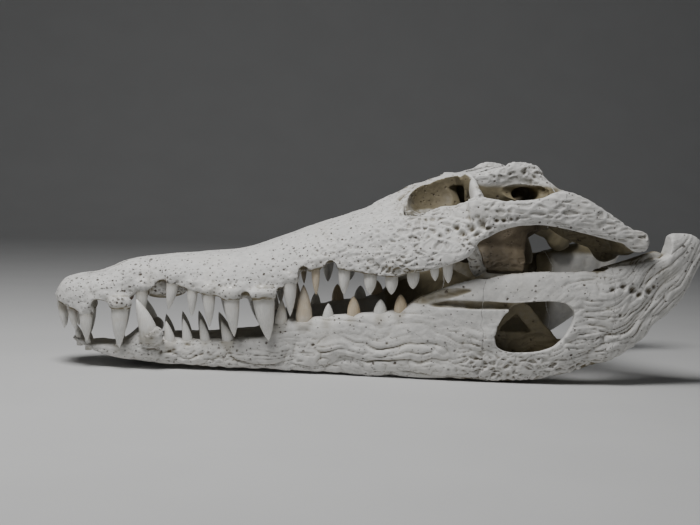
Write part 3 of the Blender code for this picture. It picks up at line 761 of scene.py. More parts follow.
def hollowness(thing, spots, facing, passes, reach):
    """How far each point lies below its surroundings: 1 in a hollow, -1 on a crest."""
    twin = copy_of(thing, "twin")
    soften = twin.modifiers.new("soften", "SMOOTH")
    soften.factor = .5
    soften.iterations = passes
    twin = settled(twin, "twin_soft")
    soft = read_points(twin.data)[0]
    bpy.data.objects.remove(twin)
    return np.clip(((soft - spots) * facing).sum(axis=1) / reach, -1, 1)


def dents(s, z, pits, outward):
    """Round dents at (station, height, radius, depth), pressed in where the bone faces outward."""
    lift = np.zeros(len(s))
    for at, height, radius, depth in pits:
        inside = np.clip(1 - ((s - at) ** 2 + (z - height) ** 2) / radius ** 2, 0, 1)
        lift = np.minimum(lift, -depth * inside ** 1.3 * outward)
    return lift


def tooth_stain(s, y, z, teeth, reach):
    """1 beside the roots of the teeth, falling to 0 over a reach."""
    stain = np.zeros(len(s))
    for at, breadth, height, _, width, _ in teeth:
        away = np.sqrt((s - at) ** 2 + (y - breadth) ** 2 + (z - height) ** 2)
        stain = np.maximum(stain, ebb(away, width * .5 + .001, width * .5 + reach))
    return stain


def dimples(lift, share, spots, size, depth, seed, rim=.52):
    """Press round dimples into the points where the share is above nothing."""
    some = np.flatnonzero(share > .02)
    first, _, chance = nearest_dots(spots[some] / np.array(size), seed)
    lift[some] -= share[some] * depth * (.35 + .65 * chance) * ebb(first, .10, rim)


def net(lift, share, spots, size, depth, seed):
    """Press irregular pits with thin walls between them, as a net, into the points with a share."""
    some = np.flatnonzero(share > .02)
    scaled = spots[some] / np.array(size)
    sway = np.stack([lattice_noise(scaled * .8, seed + axis) for axis in (11, 12, 13)], axis=1)
    _, room, chance = nearest_dots(scaled + .45 * sway, seed)
    lift[some] -= share[some] * depth * (.25 + .75 * chance) * fade(room, .03, .45)


def grooves(points, seed):
    """Narrow winding grooves: 1 in the groove, near 0 between."""
    return (1 - np.abs(lattice_noise(points, seed))) ** 4


def relief_of_cranium(spots, facing):
    """Lift of each point of the cranium: lumps, furrows, net-like sculpture and pits."""
    s, y, z = placed(spots)
    outward = outwardness(spots, facing, .25, .6)
    upward = fade(facing[:, 2], .2, .7)
    outside = np.maximum(outward, upward)
    lift = lumps(spots, (.00055, .021, 1), (.00026, .0085, 2), (.00014, .0036, 3))
    snout = ebb(s, .27, .30)
    stretched = spots / np.array([.026, .0065, .0065])
    streaks = .00030 * lattice_noise(stretched, 4) + .00018 * lattice_noise(stretched * 2.3, 5)
    lift += snout * outside * streaks
    above = z - sampled(tooth_margin)(s)
    margin = snout * outward * ebb(above, .010, .020)
    lift += margin * .0005 * lattice_noise(spots / .0042, 6)
    nose = ebb(s, .070, .085) * outside
    flank = snout * outward * fade(above, .008, .016) * (1 - nose)
    cheek = fade(s, .215, .27) * fade(y, .050, .062) * outward
    table = fade(z, .155, .160) * fade(s, .318, .33) * outside
    hollow = fade(s, .31, .33) * ebb(y, .062, .068) * (1 - table)
    brow = fade(s, .190, .225) * (1 - cheek) * (1 - table) * (1 - hollow) * outside
    brow *= 1 - outward * ebb(y, .034, .044) * fade(s, .255, .268)
    dimples(lift, np.maximum(margin, nose), spots, (.0046, .0042, .0042), .00075, 57, .45)
    dimples(lift, flank, spots, (.0068, .0058, .0056), .00045, 47, .40)
    front = cheek * ebb(s, .335, .365)
    net(lift, front, spots, (.0072, .0056, .0052), .0017, 7)
    net(lift, cheek - front, spots, (.0120, .0052, .0044), .0014, 77)
    net(lift, table, spots, (.0056, .0054, .0052), .0014, 17)
    net(lift, brow, spots, (.0076, .0056, .0054), .00095, 27)
    lift -= cheek * .0006 * grooves(spots / np.array([.030, .0070, .0062]), 9)
    lift -= .0006
    lift += dents(s, z, CHEEK_PITS, cheek)
    lift += dents(s, z, TABLE_PITS, outward * fade(z, .150, .155))
    return lift


def relief_of_jaw(spots, facing):
    """Lift of each point of the lower jaw: lumps, long wavy furrows and pits."""
    s, _, z = placed(spots)
    low, top = sampled(jaw_bottom)(s), sampled(jaw_top)(s)
    rise = (z - low) / np.maximum(top - low, .004)
    outward = outwardness(spots, facing, -.15, .35)
    lift = lumps(spots, (.0007, .017, 31), (.00032, .007, 32), (.00012, .0035, 33))
    sway = lumps(spots, (.75, .030, 34), (.22, .010, 39))
    flow = np.stack([s / .040, rise * (top - low) / .0092 + sway, np.sign(spots[:, 1]) * 3], axis=1)
    furrow = .45 - .70 * grooves(flow, 35) - .34 * grooves(flow * np.array([2.2, 1.9, 1]), 36)
    furrow -= .25 * grooves(flow * np.array([4.5, 3.4, 1]), 40)
    lower = ebb(rise, .30, .62) * fade(s, .08, .15)
    rear = fade(s, .372, .42)
    nose = ebb(s, .20, .25) * ebb(rise, .55, .80) * fade(s, .05, .08)
    strength = .0009 + .0019 * lower + .0011 * rear + .0011 * nose
    strength *= 1 - .6 * fade(s, .465, .49)
    strength *= 1 - .6 * fade(s, .27, .33) * (1 - rear) * fade(rise, .45, .65)
    lift += outward * strength * furrow
    front = ebb(s, .12, .17) * outward
    dimples(lift, front, spots, (.0058, .0046, .0044), .0011, 37)
    low_rear = fade(s, .30, .34) * ebb(s, .41, .44) * ebb(z, .016, .026) * outward
    net(lift, low_rear, spots, (.0068, .0052, .0044), .0021, 38)
    lift += dents(s, z, JAW_PITS, outward)
    return lift - .0004


def raised(thing, relief, strength):
    """Lift the points of a whole by its relief, and read them again."""
    spots, facing = read_points(thing.data)
    write_points(thing.data, spots + facing * (relief(spots, facing) * strength)[:, None])
    return read_points(thing.data)


def stain_and_shade_inside(s, y, z, outward, upward):
    """1 inside the arches of the cranium: yellow-brown patina with painted shade of the arches; less on the
    faces that light falls on.
    """
    border = cheek_line(s)
    inside_stain_and_shade = fade(s, .275, .295) * ebb(y, border - .004, border + .002)
    inside_stain_and_shade *= ebb(z, .150, .156)
    # Faces turned up or outward to the light are left pale: painted light.
    lit_faces = np.maximum(fade(y, .084, .090) * outward, fade(z, .112, .120) * upward)
    inside_stain_and_shade *= 1 - .92 * lit_faces * fade(s, .392, .405)
    # The front of the orbit, where light falls in, is left pale: painted light.
    inside_stain_and_shade *= 1 - .85 * ebb(s, .325, .335) * fade(z, .12, .13)
    # The ectopterygoid pillar faces the light and is left paler: painted light.
    pillar = fade(y, .058, .063) * fade(s, .295, .300) * ebb(s, .338, .343) * ebb(z, .112, .118)
    return inside_stain_and_shade * (1 - .75 * pillar)


def darkened(s, y, z):
    """1 deep inside the temporal openings, where hardly any light falls."""
    deep = fade(s, .322, .330) * ebb(s, .385, .400) * ebb(y, .060, .064) * ebb(z, .124, .132)
    upper = fade(s, .350, .356) * ebb(y, .042, .050) * fade(z, .136, .140) * ebb(z, .154, .157)
    return np.maximum(deep, upper)


def finish_cranium(thing, sizes):
    """Raise the relief of the cranium and note where it is stained and pitted, and where shade is painted
    on it.
    """
    spots, facing = raised(thing, relief_of_cranium, sizes.relief)
    s, y, z = placed(spots)
    fine = hollowness(thing, spots, facing, FINE_PASSES, .00035)
    broad = hollowness(thing, spots, facing, BROAD_PASSES, .0022)
    outward = outwardness(spots, facing, .1, .5)
    upward = fade(facing[:, 2], .0, .5)
    inside_stain_and_shade = stain_and_shade_inside(s, y, z, outward, upward)
    # The wall inside the orbit: yellow-brown patina that darkens towards the back as painted shade, kept
    # off the faces turned up to the light.
    socket = fade(s, .262, .300) * ebb(s, .324, .332) * ebb(y, .053, .060) * fade(z, .116, .124)
    socket *= ebb(facing[:, 2], .60, .90)
    # The downward faces of the palate are stained dark: painted shade under the snout.
    palate_underside_shade = ebb(facing[:, 2], -.75, -.35) * ebb(s, .28, .31)
    patch = .5 + .5 * lattice_noise(spots / .014, 41)
    root = tooth_stain(s, y, z, UPPER_TEETH, .0045)
    # The stain mask holds patina in the hollows and round the roots, and painted shade inside the arches,
    # in the orbit and under the palate.
    stain = np.maximum(inside_stain_and_shade, .85 * palate_underside_shade) + .50 * np.maximum(broad, 0) + .30 * np.maximum(fine, 0)
    stain += .40 * root * (1 - outward * .6) + 1.15 * socket
    write_mask(thing.data, "stain", stain * (.75 + .5 * patch))
    # The hollow mask is painted shade: dark colour in the creases, in the orbit and deep inside the
    # temporal openings.
    deep = .85 * darkened(s, y, z) * fade(y, .008, .018)
    write_mask(thing.data, "hollow", np.maximum(.55 * fine + .22 * socket, deep))
    margin = ebb(z - sampled(tooth_margin)(s), .012, .032)
    pitting = (.62 + .50 * margin * ebb(s, .27, .30)) * np.maximum(outward, .45 * upward)
    pitting += .45 * ebb(s, .07, .10) * outward
    pitting *= 1 - .45 * fade(s, .30, .33)
    write_mask(thing.data, "pitting", pitting * (.6 + .6 * patch))
    write_mask(thing.data, "root", root * fade(patch, .35, .75) * (1 - .7 * outward))


def slot_stain(s, y, z, outer):
    """1 in the two long slots of the lower jaw's outer wall."""
    slot = np.zeros(len(s))
    for row in (UPPER_SLOT, LOWER_SLOT):
        at, middle, high = np.array(row).T
        high = np.interp(s, at, high, left=0, right=0)
        away = np.abs(z - np.interp(s, at, middle))
        slot = np.maximum(slot, ebb(away, high * .45, high * .60 + .0006) * fade(high, .001, .003))
    return slot * ebb(y, outer - .0020, outer - .0004)


def finish_jaw(thing, sizes):
    """Raise the relief of the lower jaw and note where it is stained and pitted, and where shade is painted
    on it.
    """
    spots, facing = raised(thing, relief_of_jaw, sizes.relief)
    s, y, z = placed(spots)
    fine = hollowness(thing, spots, facing, FINE_PASSES, .00040)
    broad = hollowness(thing, spots, facing, BROAD_PASSES, .0022)
    outer = sampled(jaw_outer)(s)
    # Deep inside the muscle hollow and on the faces turned to the middle plane the bone is stained: partly
    # patina, partly painted shade.
    inside_stain_and_shade = ebb(y, outer - .0095, outer - .005) * fade(s, .27, .29) * ebb(s, .425, .44)
    inner = 1 - outwardness(spots, facing, -.6, -.1)
    patch = .5 + .5 * lattice_noise(spots / .014, 42)
    root = tooth_stain(s, y, z, LOWER_TEETH, .0045)
    slot = slot_stain(s, y, z, outer)
    seat = fade(s, .430, .440) * ebb(s, .474, .482) * fade(z, .088, .096) * ebb(y, .086, .091)
    stain = np.maximum(inside_stain_and_shade, .52 * slot) + .22 * inner
    stain += .60 * np.maximum(broad, 0)
    stain += .45 * np.maximum(fine, 0)
    stain += .35 * root + .80 * seat
    write_mask(thing.data, "stain", stain * (.75 + .5 * patch))
    # The hollow mask is painted shade in the creases.
    write_mask(thing.data, "hollow", .62 * np.maximum(fine, 0))
    outward = outwardness(spots, facing, .0, .4)
    pitting = outward * (.32 + .40 * ebb(s, .15, .22))
    write_mask(thing.data, "pitting", pitting * (.5 + .7 * patch))
    gums = root * fade(patch, .45, .85) * (1 - .8 * outward)
    write_mask(thing.data, "root", np.maximum(gums, .35 * seat * patch))


# ---- teeth --------------------------------------------------------------------------------------
def tooth_girth(rise, blunt):
    """Share of a tooth's width at a rise from 0 at the gum to 1 at the tip."""
    if rise <= 0:
        return 1 - .10 * blunt + rise * .35
    sharp = (1 - rise ** 1.9) ** .82
    leaf = (.90 + .42 * rise * (1 - rise)) * (1 - rise ** 3.2) ** .70
    return sharp * (1 - blunt) + leaf * blunt


def bluntness(s, sign):
    """Front teeth are fangs; the rear ones are short and leaf-shaped."""
    return float(fade(np.array(s), .19, .25)) * (.95 if sign < 0 else .80)


def tooth(mesh, side, row, sign, sides):
    """One tooth with its root: a curved cone with a faint keel before and behind."""
    s, y, z, length, width, lean = row
    blunt = bluntness(s, sign)
    rings = []
    for i in range(TOOTH_RINGS + 1):
        rise = -.26 + 1.255 * (i / TOOTH_RINGS) ** .82
        share = tooth_girth(min(rise, .995), blunt)
        far = max(rise, 0)
        inward = .0018 - length * (.02 + .10 * far * far) * (1 - .6 * blunt)
        centre = place(s - lean * far ** 1.4, side * (y + inward * far), z + sign * length * rise)
        ring = []
        for turn in turns(sides):
            keel = 1 + .05 * abs(math.cos(turn)) ** 9
            outward = Vector((math.cos(turn) * keel, math.sin(turn) * .84, 0))
            ring.append(centre + outward * share * width / 2)
        rings.append(wound(ring, sign))
    skin(mesh, rings)


def socket_cutter(mesh, side, row, sign, gap):
    """A shallow ring round the neck of a tooth, where the bone stands off from it."""
    s, y, z, length, width, lean = row
    rings = []
    for rise, spare in ((.0016, -.0012), (.0022, gap), (.0140, gap + .0006)):
        share = rise / length
        centre = place(s - lean * max(share, 0) ** 1.4, side * y, z + sign * rise)
        radius = tooth_girth(min(share, .6), bluntness(s, sign)) * width / 2 + spare
        ring = []
        for turn in turns(RIM_SIDES):
            ring.append(centre + Vector((math.cos(turn) * 1.04, math.sin(turn) * .88, 0)) * radius)
        rings.append(wound(ring, sign))
    skin(mesh, rings)


# ---- bones from the whole -----------------------------------------------------------------------
def wander(spots):
    """Points moved along and across the skull as a suture strays from its straight course."""
    mirrored = np.stack([spots[:, 0], np.abs(spots[:, 1]), spots[:, 2]], axis=1)
    along = lumps(mirrored, (.0050, .016, 51), (.0014, .0050, 52))
    across = lumps(mirrored, (.0010, .012, 53), (.0004, .0042, 54))
    across *= np.clip(spots[:, 1] / .004, -1, 1)
    return spots + np.stack([along, across, np.zeros(len(spots))], axis=1)


def wavy_block(outline, low, high):
    """A block over an outline of (station, y) points whose walls wander as sutures do."""
    course = []
    for (s0, y0), (s1, y1) in zip(outline, outline[1:] + outline[:1]):
        steps = max(1, round(math.hypot(s1 - s0, y1 - y0) / SUTURE_STEP))
        course += [(s0 + (s1 - s0) * k / steps, y0 + (y1 - y0) * k / steps) for k in range(steps)]
    levels = np.linspace(low, high, max(2, round((high - low) / SUTURE_STEP)) + 1)
    spots = wander(np.array([place(s, y, z) for z in levels for s, y in course], float))
    rings = spots.reshape(len(levels), len(course), 3)
    mesh = bmesh.new()
    skin(mesh, rings)
    return mesh_object("block", mesh)


def bored_whole(mesh, cutters, grain, passes):
    """Melt volumes into one skin, bore it with melted cutters, and keep its largest piece."""
    solid = melt(mesh_object("solid", mesh), grain, passes[0], "melted")
    holes = melt(mesh_object("holes", cutters), grain, passes[1], "holes_melted")
    whole = melt(combine(solid, holes, "DIFFERENCE", "bored"), grain, passes[2], "whole")
    largest_piece(whole)
    return whole


def cut_rims(whole, sides, teeth, sign, gap):
    """Cut a shallow ring into the bone round the neck of each tooth."""
    rims = bmesh.new()
    for side in sides:
        for row in teeth:
            socket_cutter(rims, side, row, sign, gap)
    return combine(whole, mesh_object("rims", rims), "DIFFERENCE", "rimmed")


def cheek_line(s):
    """Breadth of the border between the cheek bar and the bones inside it."""
    return CHEEK_BORDER + (s - CHEEK_START) * CHEEK_SLOPE


def strip(side, start, end, slit, borders=(0, 0)):
    """Outline of a block on one side, from its borders with the inner bones to clear of the skull."""
    points = ((start, borders[0] + slit), (end, borders[1] + slit), (end, BLOCK_EDGE), (start, BLOCK_EDGE))
    return wound([(s, side * y) for s, y in points], side)


def cranium_blocks(gap):
    """Blocks of the upper bones: name, outline and heights."""
    slit = gap / 2
    cheek = (cheek_line(CHEEK_START), cheek_line(EAR_START))
    blocks = []
    for name, side in SIDES:
        for bone, start, end, borders in (
                ("premaxilla", BLOCK_FRONT, MAXILLA_START - slit, (0, 0)),
                ("maxilla", MAXILLA_START + slit, CHEEK_START - slit, (0, 0)),
                ("jugal", CHEEK_START + slit, EAR_START - slit, cheek),
                ("quadrate", EAR_START + slit, BLOCK_REAR, (NECK_HALF, NECK_HALF))):
            blocks.append((f"{bone}_{name}", strip(side, start, end, slit, borders), 0, BLOCK_TOP))
    half = [(CHEEK_START + slit, cheek[0] - slit), (EAR_START - slit, cheek[1] - slit),
            (EAR_START - slit, NECK_HALF - slit), (BLOCK_REAR, NECK_HALF - slit)]
    inner = [(s, -y) for s, y in half] + half[::-1]
    blocks.append(("skull_roof", inner, ROOF_HEIGHT + slit, BLOCK_TOP))
    blocks.append(("palate_base", inner, 0, ROOF_HEIGHT - slit))
    return blocks


def jaw_blocks(side, name, gap):
    """Blocks of the lower bones of one side."""
    slit = gap / 2
    blocks = []
    for bone, start, end in (("dentary", BLOCK_FRONT, SURANGULAR_START - slit),
                             ("surangular", SURANGULAR_START + slit, ARTICULAR_START - slit),
                             ("articular", ARTICULAR_START + slit, JAW_BLOCK_REAR)):
        blocks.append((f"{bone}_{name}", strip(side, start, end, slit), BLOCK_BOTTOM, BLOCK_TOP))
    return blocks


def part_bones(whole, blocks, finish):
    """Cut a whole into bones, one for each named block, each in place of its plain node."""
    for node, outline, low, high in blocks:
        block = wavy_block(outline, low, high)
        bone = combine(copy_of(whole, "blank"), block, "INTERSECT", f"{node}_bone")
        largest_piece(bone)
        dress(bone, finish)
        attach(bone, "root")
        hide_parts(node)
    bpy.data.objects.remove(whole)


def dress(thing, finish):
    """Give a piece its material and smooth shading."""
    thing.data.materials.clear()
    thing.data.materials.append(finish)
    thing.data.shade_smooth()


# ---- finishes -----------------------------------------------------------------------------------
def feed(socket, value):
    """Give an input its value: another socket, a number or a colour."""
    if isinstance(value, bpy.types.NodeSocket):
        socket.id_data.links.new(value, socket)
    else:
        socket.default_value = value


def add_node(tree, kind, at, inputs=(), **settings):
    """A node at a place in its tree, with its settings and its inputs, found by number or name."""
    node = tree.nodes.new(kind)
    node.location = at
    for name, value in settings.items():
        setattr(node, name, value)
    for slot, value in dict(inputs).items():
        feed(node.inputs[slot], value)
    return node


def new_group(name, inputs, outputs):
    """A shader node group: its tree, the sockets that it is given and those that it gives."""
    tree = bpy.data.node_groups.new(name, "ShaderNodeTree")
    for way, sockets in (("INPUT", inputs), ("OUTPUT", outputs)):
        for title, kind in sockets:
            tree.interface.new_socket(name=title, in_out=way, socket_type=f"NodeSocket{kind}")
    given = add_node(tree, "NodeGroupInput", (-1400, 0))
    made = add_node(tree, "NodeGroupOutput", (1400, 0))
    return tree, given.outputs, made.inputs


def add_group(tree, at, group, values):
    """A node group placed in a tree, with its values; gives its output sockets."""
    node = add_node(tree, "ShaderNodeGroup", at, node_tree=group)
    for title, value in values.items():
        feed(node.inputs[title], value)
    return node.outputs


def new_material(name):
    """A material: itself, its tree, its shader's inputs and a socket with the place on the object."""
    material = bpy.data.materials.new(name)
    material.use_nodes = True
    tree = material.node_tree
    position = add_node(tree, "ShaderNodeTexCoord", (-1300, 200)).outputs["Object"]
    return material, tree, tree.nodes["Principled BSDF"].inputs, position


def mixed(tree, at, factor, first, second):
    """A colour that goes from the first to the second by a factor."""
    inputs = {0: factor, 6: first, 7: second}
    return add_node(tree, "ShaderNodeMix", at, inputs, data_type="RGBA").outputs[2]


def sums(tree, at, how, first, second):
    """A math node on two inputs, each a socket or a number."""
    return add_node(tree, "ShaderNodeMath", at, enumerate((first, second)), operation=how).outputs[0]


def spread(tree, at, value, low, high, new_low=0.0, new_high=1.0):
    """A value stretched from one range to another, eased at both ends."""
    inputs = enumerate((value, low, high, new_low, new_high))
    return add_node(tree, "ShaderNodeMapRange", at, inputs, interpolation_type="SMOOTHSTEP").outputs[0]


def noise(tree, at, vector, scale, detail):
    """Cloud noise on a vector socket."""
    return add_node(tree, "ShaderNodeTexNoise", at, {"Vector": vector, "Scale": scale, "Detail": detail})


def bump(tree, at, height, strength, distance):
    """A normal that follows a height."""
    inputs = {"Height": height, "Strength": strength, "Distance": distance}
    return add_node(tree, "ShaderNodeBump", at, inputs).outputs[0]


def toned(tree, at, colour, value):
    """A colour made lighter or darker by a value."""
    return add_node(tree, "ShaderNodeHueSaturation", at, {"Color": colour, "Value": value}).outputs[0]


def mask_socket(tree, at, name):
    """A mask that the mesh carries."""
    return add_node(tree, "ShaderNodeAttribute", at, attribute_name=name).outputs["Fac"]


def pores_group():
    """Small round pits of many sizes, more of them where the density is high."""
    inputs = (("Position", "Vector"), ("Density", "Float"), ("Size", "Float"))
    tree, given, made = new_group("Bone Pores", inputs, (("Pores", "Float"),))
    wobble = noise(tree, (-1150, -250), given["Position"], 520, 2)
    centred = add_node(tree, "ShaderNodeVectorMath", (-950, -250),
                       {0: wobble.outputs["Color"], 1: (.5, .5, .5)}, operation="SUBTRACT")
    shaken = add_node(tree, "ShaderNodeVectorMath", (-750, -150),
                      {0: centred.outputs[0], 1: (.0016,) * 3, 2: given["Position"]},
                      operation="MULTIPLY_ADD")
    dots = add_node(tree, "ShaderNodeTexVoronoi", (-500, 0),
                    {"Vector": shaken.outputs[0], "Scale": given["Size"]}, feature="F1")
    parts = add_node(tree, "ShaderNodeSeparateColor", (-250, -200), {0: dots.outputs["Color"]}).outputs
    radius = spread(tree, (0, -200), parts[0], 0, 1, .16, .34)
    inner = sums(tree, (200, -200), "MULTIPLY", radius, .45)
    depth = spread(tree, (400, 0), dots.outputs["Distance"], radius, inner)
    there = sums(tree, (200, -400), "LESS_THAN", parts[1], given["Density"])
    strong = spread(tree, (400, -300), parts[2], 0, 1, .45, 1)
    shown = sums(tree, (600, -200), "MULTIPLY", there, strong)
    feed(made["Pores"], sums(tree, (800, 0), "MULTIPLY", depth, shown))
    return tree


def patina_and_shade_group():
    """Bleached bone that yellows in its hollows, with painted shade in its pores, creases and deep
    openings, and a fine chalky grain.
    """
    tree, given, made = new_group(
        "Bone Patina And Shade",
        (("Position", "Vector"), ("Bone", "Color"), ("Stained", "Color"), ("Shade Colour", "Color"),
         ("Root", "Color"), ("Stain And Shade", "Float"), ("Painted Shade", "Float"), ("Root Stain", "Float"),
         ("Pores", "Float"), ("Roughness", "Float")),
        (("Colour", "Color"), ("Roughness", "Float"), ("Height", "Float")))
    clouds, specks, grain = (noise(tree, (-1100, height), given["Position"], scale, detail).outputs[0]
                             for height, scale, detail in ((500, 34, 5), (300, 230, 4), (100, 1500, 3)))
    centred = sums(tree, (-900, 500), "SUBTRACT", clouds, .5)
    loose = sums(tree, (-700, 500), "MULTIPLY", centred, .9)
    ragged = sums(tree, (-700, 320), "MULTIPLY", sums(tree, (-900, 300), "SUBTRACT", specks, .5), .35)
    # The stain mask with noise: patina, and painted shade where the mask carries it.
    stained_and_shaded = sums(tree, (-500, 500), "ADD", given["Stain And Shade"], sums(tree, (-600, 400), "ADD", loose, ragged))
    stain = spread(tree, (-300, 500), stained_and_shaded, -.08, .95)
    colour = mixed(tree, (-100, 500), stain, given["Bone"], given["Stained"])
    red = spread(tree, (-300, 250), sums(tree, (-500, 250), "ADD", given["Root Stain"], ragged), .25, .85)
    colour = mixed(tree, (100, 450), sums(tree, (-100, 250), "MULTIPLY", red, .75), colour, given["Root"])
    # Painted shade: the hollow mask and the pits are mixed towards the dark shade colour.
    painted_shade = sums(tree, (0, 50), "MULTIPLY", given["Painted Shade"], .84)
    painted_shade = sums(tree, (200, 50), "MAXIMUM", painted_shade, sums(tree, (0, -100), "MULTIPLY", given["Pores"], .94))
    colour = mixed(tree, (400, 400), painted_shade, colour, given["Shade Colour"])
    both = sums(tree, (300, 600), "ADD", specks, clouds)
    blotches = spread(tree, (500, 600), both, .75, 1.25, .85, 1.06)
    feed(made["Colour"], toned(tree, (700, 400), colour, blotches))
    rough = sums(tree, (600, 100), "MULTIPLY", sums(tree, (400, 100), "SUBTRACT", specks, .5), .35)
    feed(made["Roughness"], sums(tree, (900, 100), "ADD", rough, given["Roughness"]))
    fine = sums(tree, (400, -200), "MULTIPLY", grain, .14)
    coarse = sums(tree, (400, -350), "MULTIPLY", specks, .55)
    body = sums(tree, (600, -250), "ADD", fine, coarse)
    feed(made["Height"], sums(tree, (900, -200), "SUBTRACT", body, given["Pores"]))
    return tree


def bone_material(name, colours, warmth, pores, patina_and_shade):
    """Dry, cleaned bone. Warmth mixes some stain into its plain colour."""
    tree, shader, position = new_material(name)[1:]
    holes = []
    for height, size, share in ((-200, 240, 1.0), (-450, 400, .75)):
        pitting = mask_socket(tree, (-1400, height), "pitting")
        density = sums(tree, (-1200, height), "MULTIPLY", pitting, share)
        values = {"Position": position, "Density": density, "Size": size}
        holes.append(add_group(tree, (-1000, height), pores, values)[0])
    plain = Vector(colours.bone).lerp(Vector(colours.stained), warmth)
    look = add_group(tree, (-500, 200), patina_and_shade, {
        "Position": position,
        "Pores": sums(tree, (-750, -300), "MAXIMUM", *holes),
        "Stain And Shade": mask_socket(tree, (-900, 300), "stain"),
        "Painted Shade": mask_socket(tree, (-900, 500), "hollow"),
        "Root Stain": mask_socket(tree, (-900, 700), "root"),
        "Bone": (*plain, 1), "Stained": (*colours.stained, 1),
        "Shade Colour": (*colours.shade_colour, 1), "Root": (*colours.root, 1),
        "Roughness": colours.bone_roughness})
    feed(shader["Base Color"], look["Colour"])
    feed(shader["Roughness"], look["Roughness"])
    feed(shader["Normal"], bump(tree, (-200, -100), look["Height"], 1, .0010))
    feed(shader["IOR"], 1.45)


def enamel_material(name, colours):
    """Teeth: slightly glossy, finely striped from gum to tip, yellower at the neck."""
    tree, shader, position = new_material(name)[1:]
    drawn = add_node(tree, "ShaderNodeVectorMath", (-1100, 200), {0: position, 1: (1, 1, .07)},
                     operation="MULTIPLY").outputs[0]
    stripes = noise(tree, (-900, 200), drawn, 1300, 3).outputs[0]
    clouds = noise(tree, (-900, 0), position, 140, 4).outputs[0]
    patchy = sums(tree, (-700, 50), "MULTIPLY", sums(tree, (-800, 50), "SUBTRACT", clouds, .5), .7)
    tint = sums(tree, (-600, 100), "ADD", mask_socket(tree, (-900, 450), "tint"), patchy)
    yellow = spread(tree, (-500, 100), tint, .02, 1.0)
    colour = mixed(tree, (-400, 300), yellow, (*colours.enamel, 1), (*colours.cream, 1))
    both = sums(tree, (-800, -150), "ADD", clouds, stripes)
    blotches = spread(tree, (-700, -100), both, .75, 1.25, .35, 1)
    neck = sums(tree, (-500, -100), "MULTIPLY", mask_socket(tree, (-900, -250), "neck"), blotches)
    dirty = sums(tree, (-350, -100), "MULTIPLY", neck, .55)
    colour = mixed(tree, (-200, 200), dirty, colour, (*colours.stained, 1))
    rough = colours.enamel_roughness
    sheen = spread(tree, (-200, 0), stripes, .3, .7, .90, 1.04)
    feed(shader["Base Color"], toned(tree, (0, 200), colour, sheen))
    feed(shader["Roughness"], spread(tree, (-200, -400), clouds, .3, .7, rough - .06, rough + .12))
    feed(shader["Normal"], bump(tree, (-100, -200), stripes, .35, .0003))
    feed(shader["IOR"], 1.5)


def floor_material(look):
    """Plain pale board with the faintest mottling."""
    material, tree, shader, position = new_material("pale board")
    clouds = noise(tree, (-700, 0), position, 9, 5).outputs[0]
    mottling = spread(tree, (-500, 0), clouds, .3, .7, .985, 1.015)
    feed(shader["Base Color"], toned(tree, (-300, 0), (*look.floor, 1), mottling))
    feed(shader["Roughness"], .8)
    return material


# ---- operators ----------------------------------------------------------------------------------
class SKULL_OT_lower_jaw(bpy.types.Operator):
    """Build the bones of the lower jaw"""
    bl_idname = "skull.lower_jaw"
    bl_label = "Lower jaw"

    def execute(self, context):
        sizes = context.scene.skull_sizes
        finish = bpy.data.materials["jaw bone"]
        wholes = []
        for _, side in SIDES:
            mesh = bmesh.new()
            add_jaw(mesh, side)
            add_sockets(mesh, side, LOWER_TEETH[4:], 1)
            egg(mesh, side, *FANG_SWELLING)
            cutters = bmesh.new()
            jaw_cutters(cutters, side)
            whole = bored_whole(mesh, cutters, sizes.jaw_grain, JAW_PASSES)
            finish_jaw(whole, sizes)
            wholes.append(cut_rims(whole, (side,), LOWER_TEETH, 1, sizes.socket_gap))
        lowest = min(read_points(whole.data)[0][:, 2].min() for whole in wholes)
        sizes.drop = float(MODEL_BOX[0][2] - lowest)
        for whole, (name, side) in zip(wholes, SIDES):
            whole.data.transform(Matrix.Translation((0, 0, sizes.drop)))
            part_bones(whole, jaw_blocks(side, name, sizes.suture_gap), finish)
        return {"FINISHED"}


class SKULL_OT_cranium(bpy.types.Operator):
    """Build the bones of the cranium"""
    bl_idname = "skull.cranium"
    bl_label = "Cranium"

    def execute(self, context):
        sizes = context.scene.skull_sizes
        mesh = bmesh.new()
        add_snout(mesh)
        add_braincase(mesh)
        for side in (-1, 1):
            add_sockets(mesh, side, UPPER_TEETH, -1)
            egg(mesh, side, *NOTCH_FLOOR)
            add_roof(mesh, side)
            add_cheek(mesh, side)
            add_quadrate(mesh, side)
            add_palate(mesh, side)
            add_inner_walls(mesh, side)
        cutters = bmesh.new()
        cranium_cutters(cutters)
        whole = bored_whole(mesh, cutters, sizes.cranium_grain, CRANIUM_PASSES)
        finish_cranium(whole, sizes)
        whole = cut_rims(whole, (-1, 1), UPPER_TEETH, -1, sizes.socket_gap)
        whole.data.transform(Matrix.Translation((0, 0, sizes.drop)))
        part_bones(whole, cranium_blocks(sizes.suture_gap), bpy.data.materials["cranium bone"])
        return {"FINISHED"}


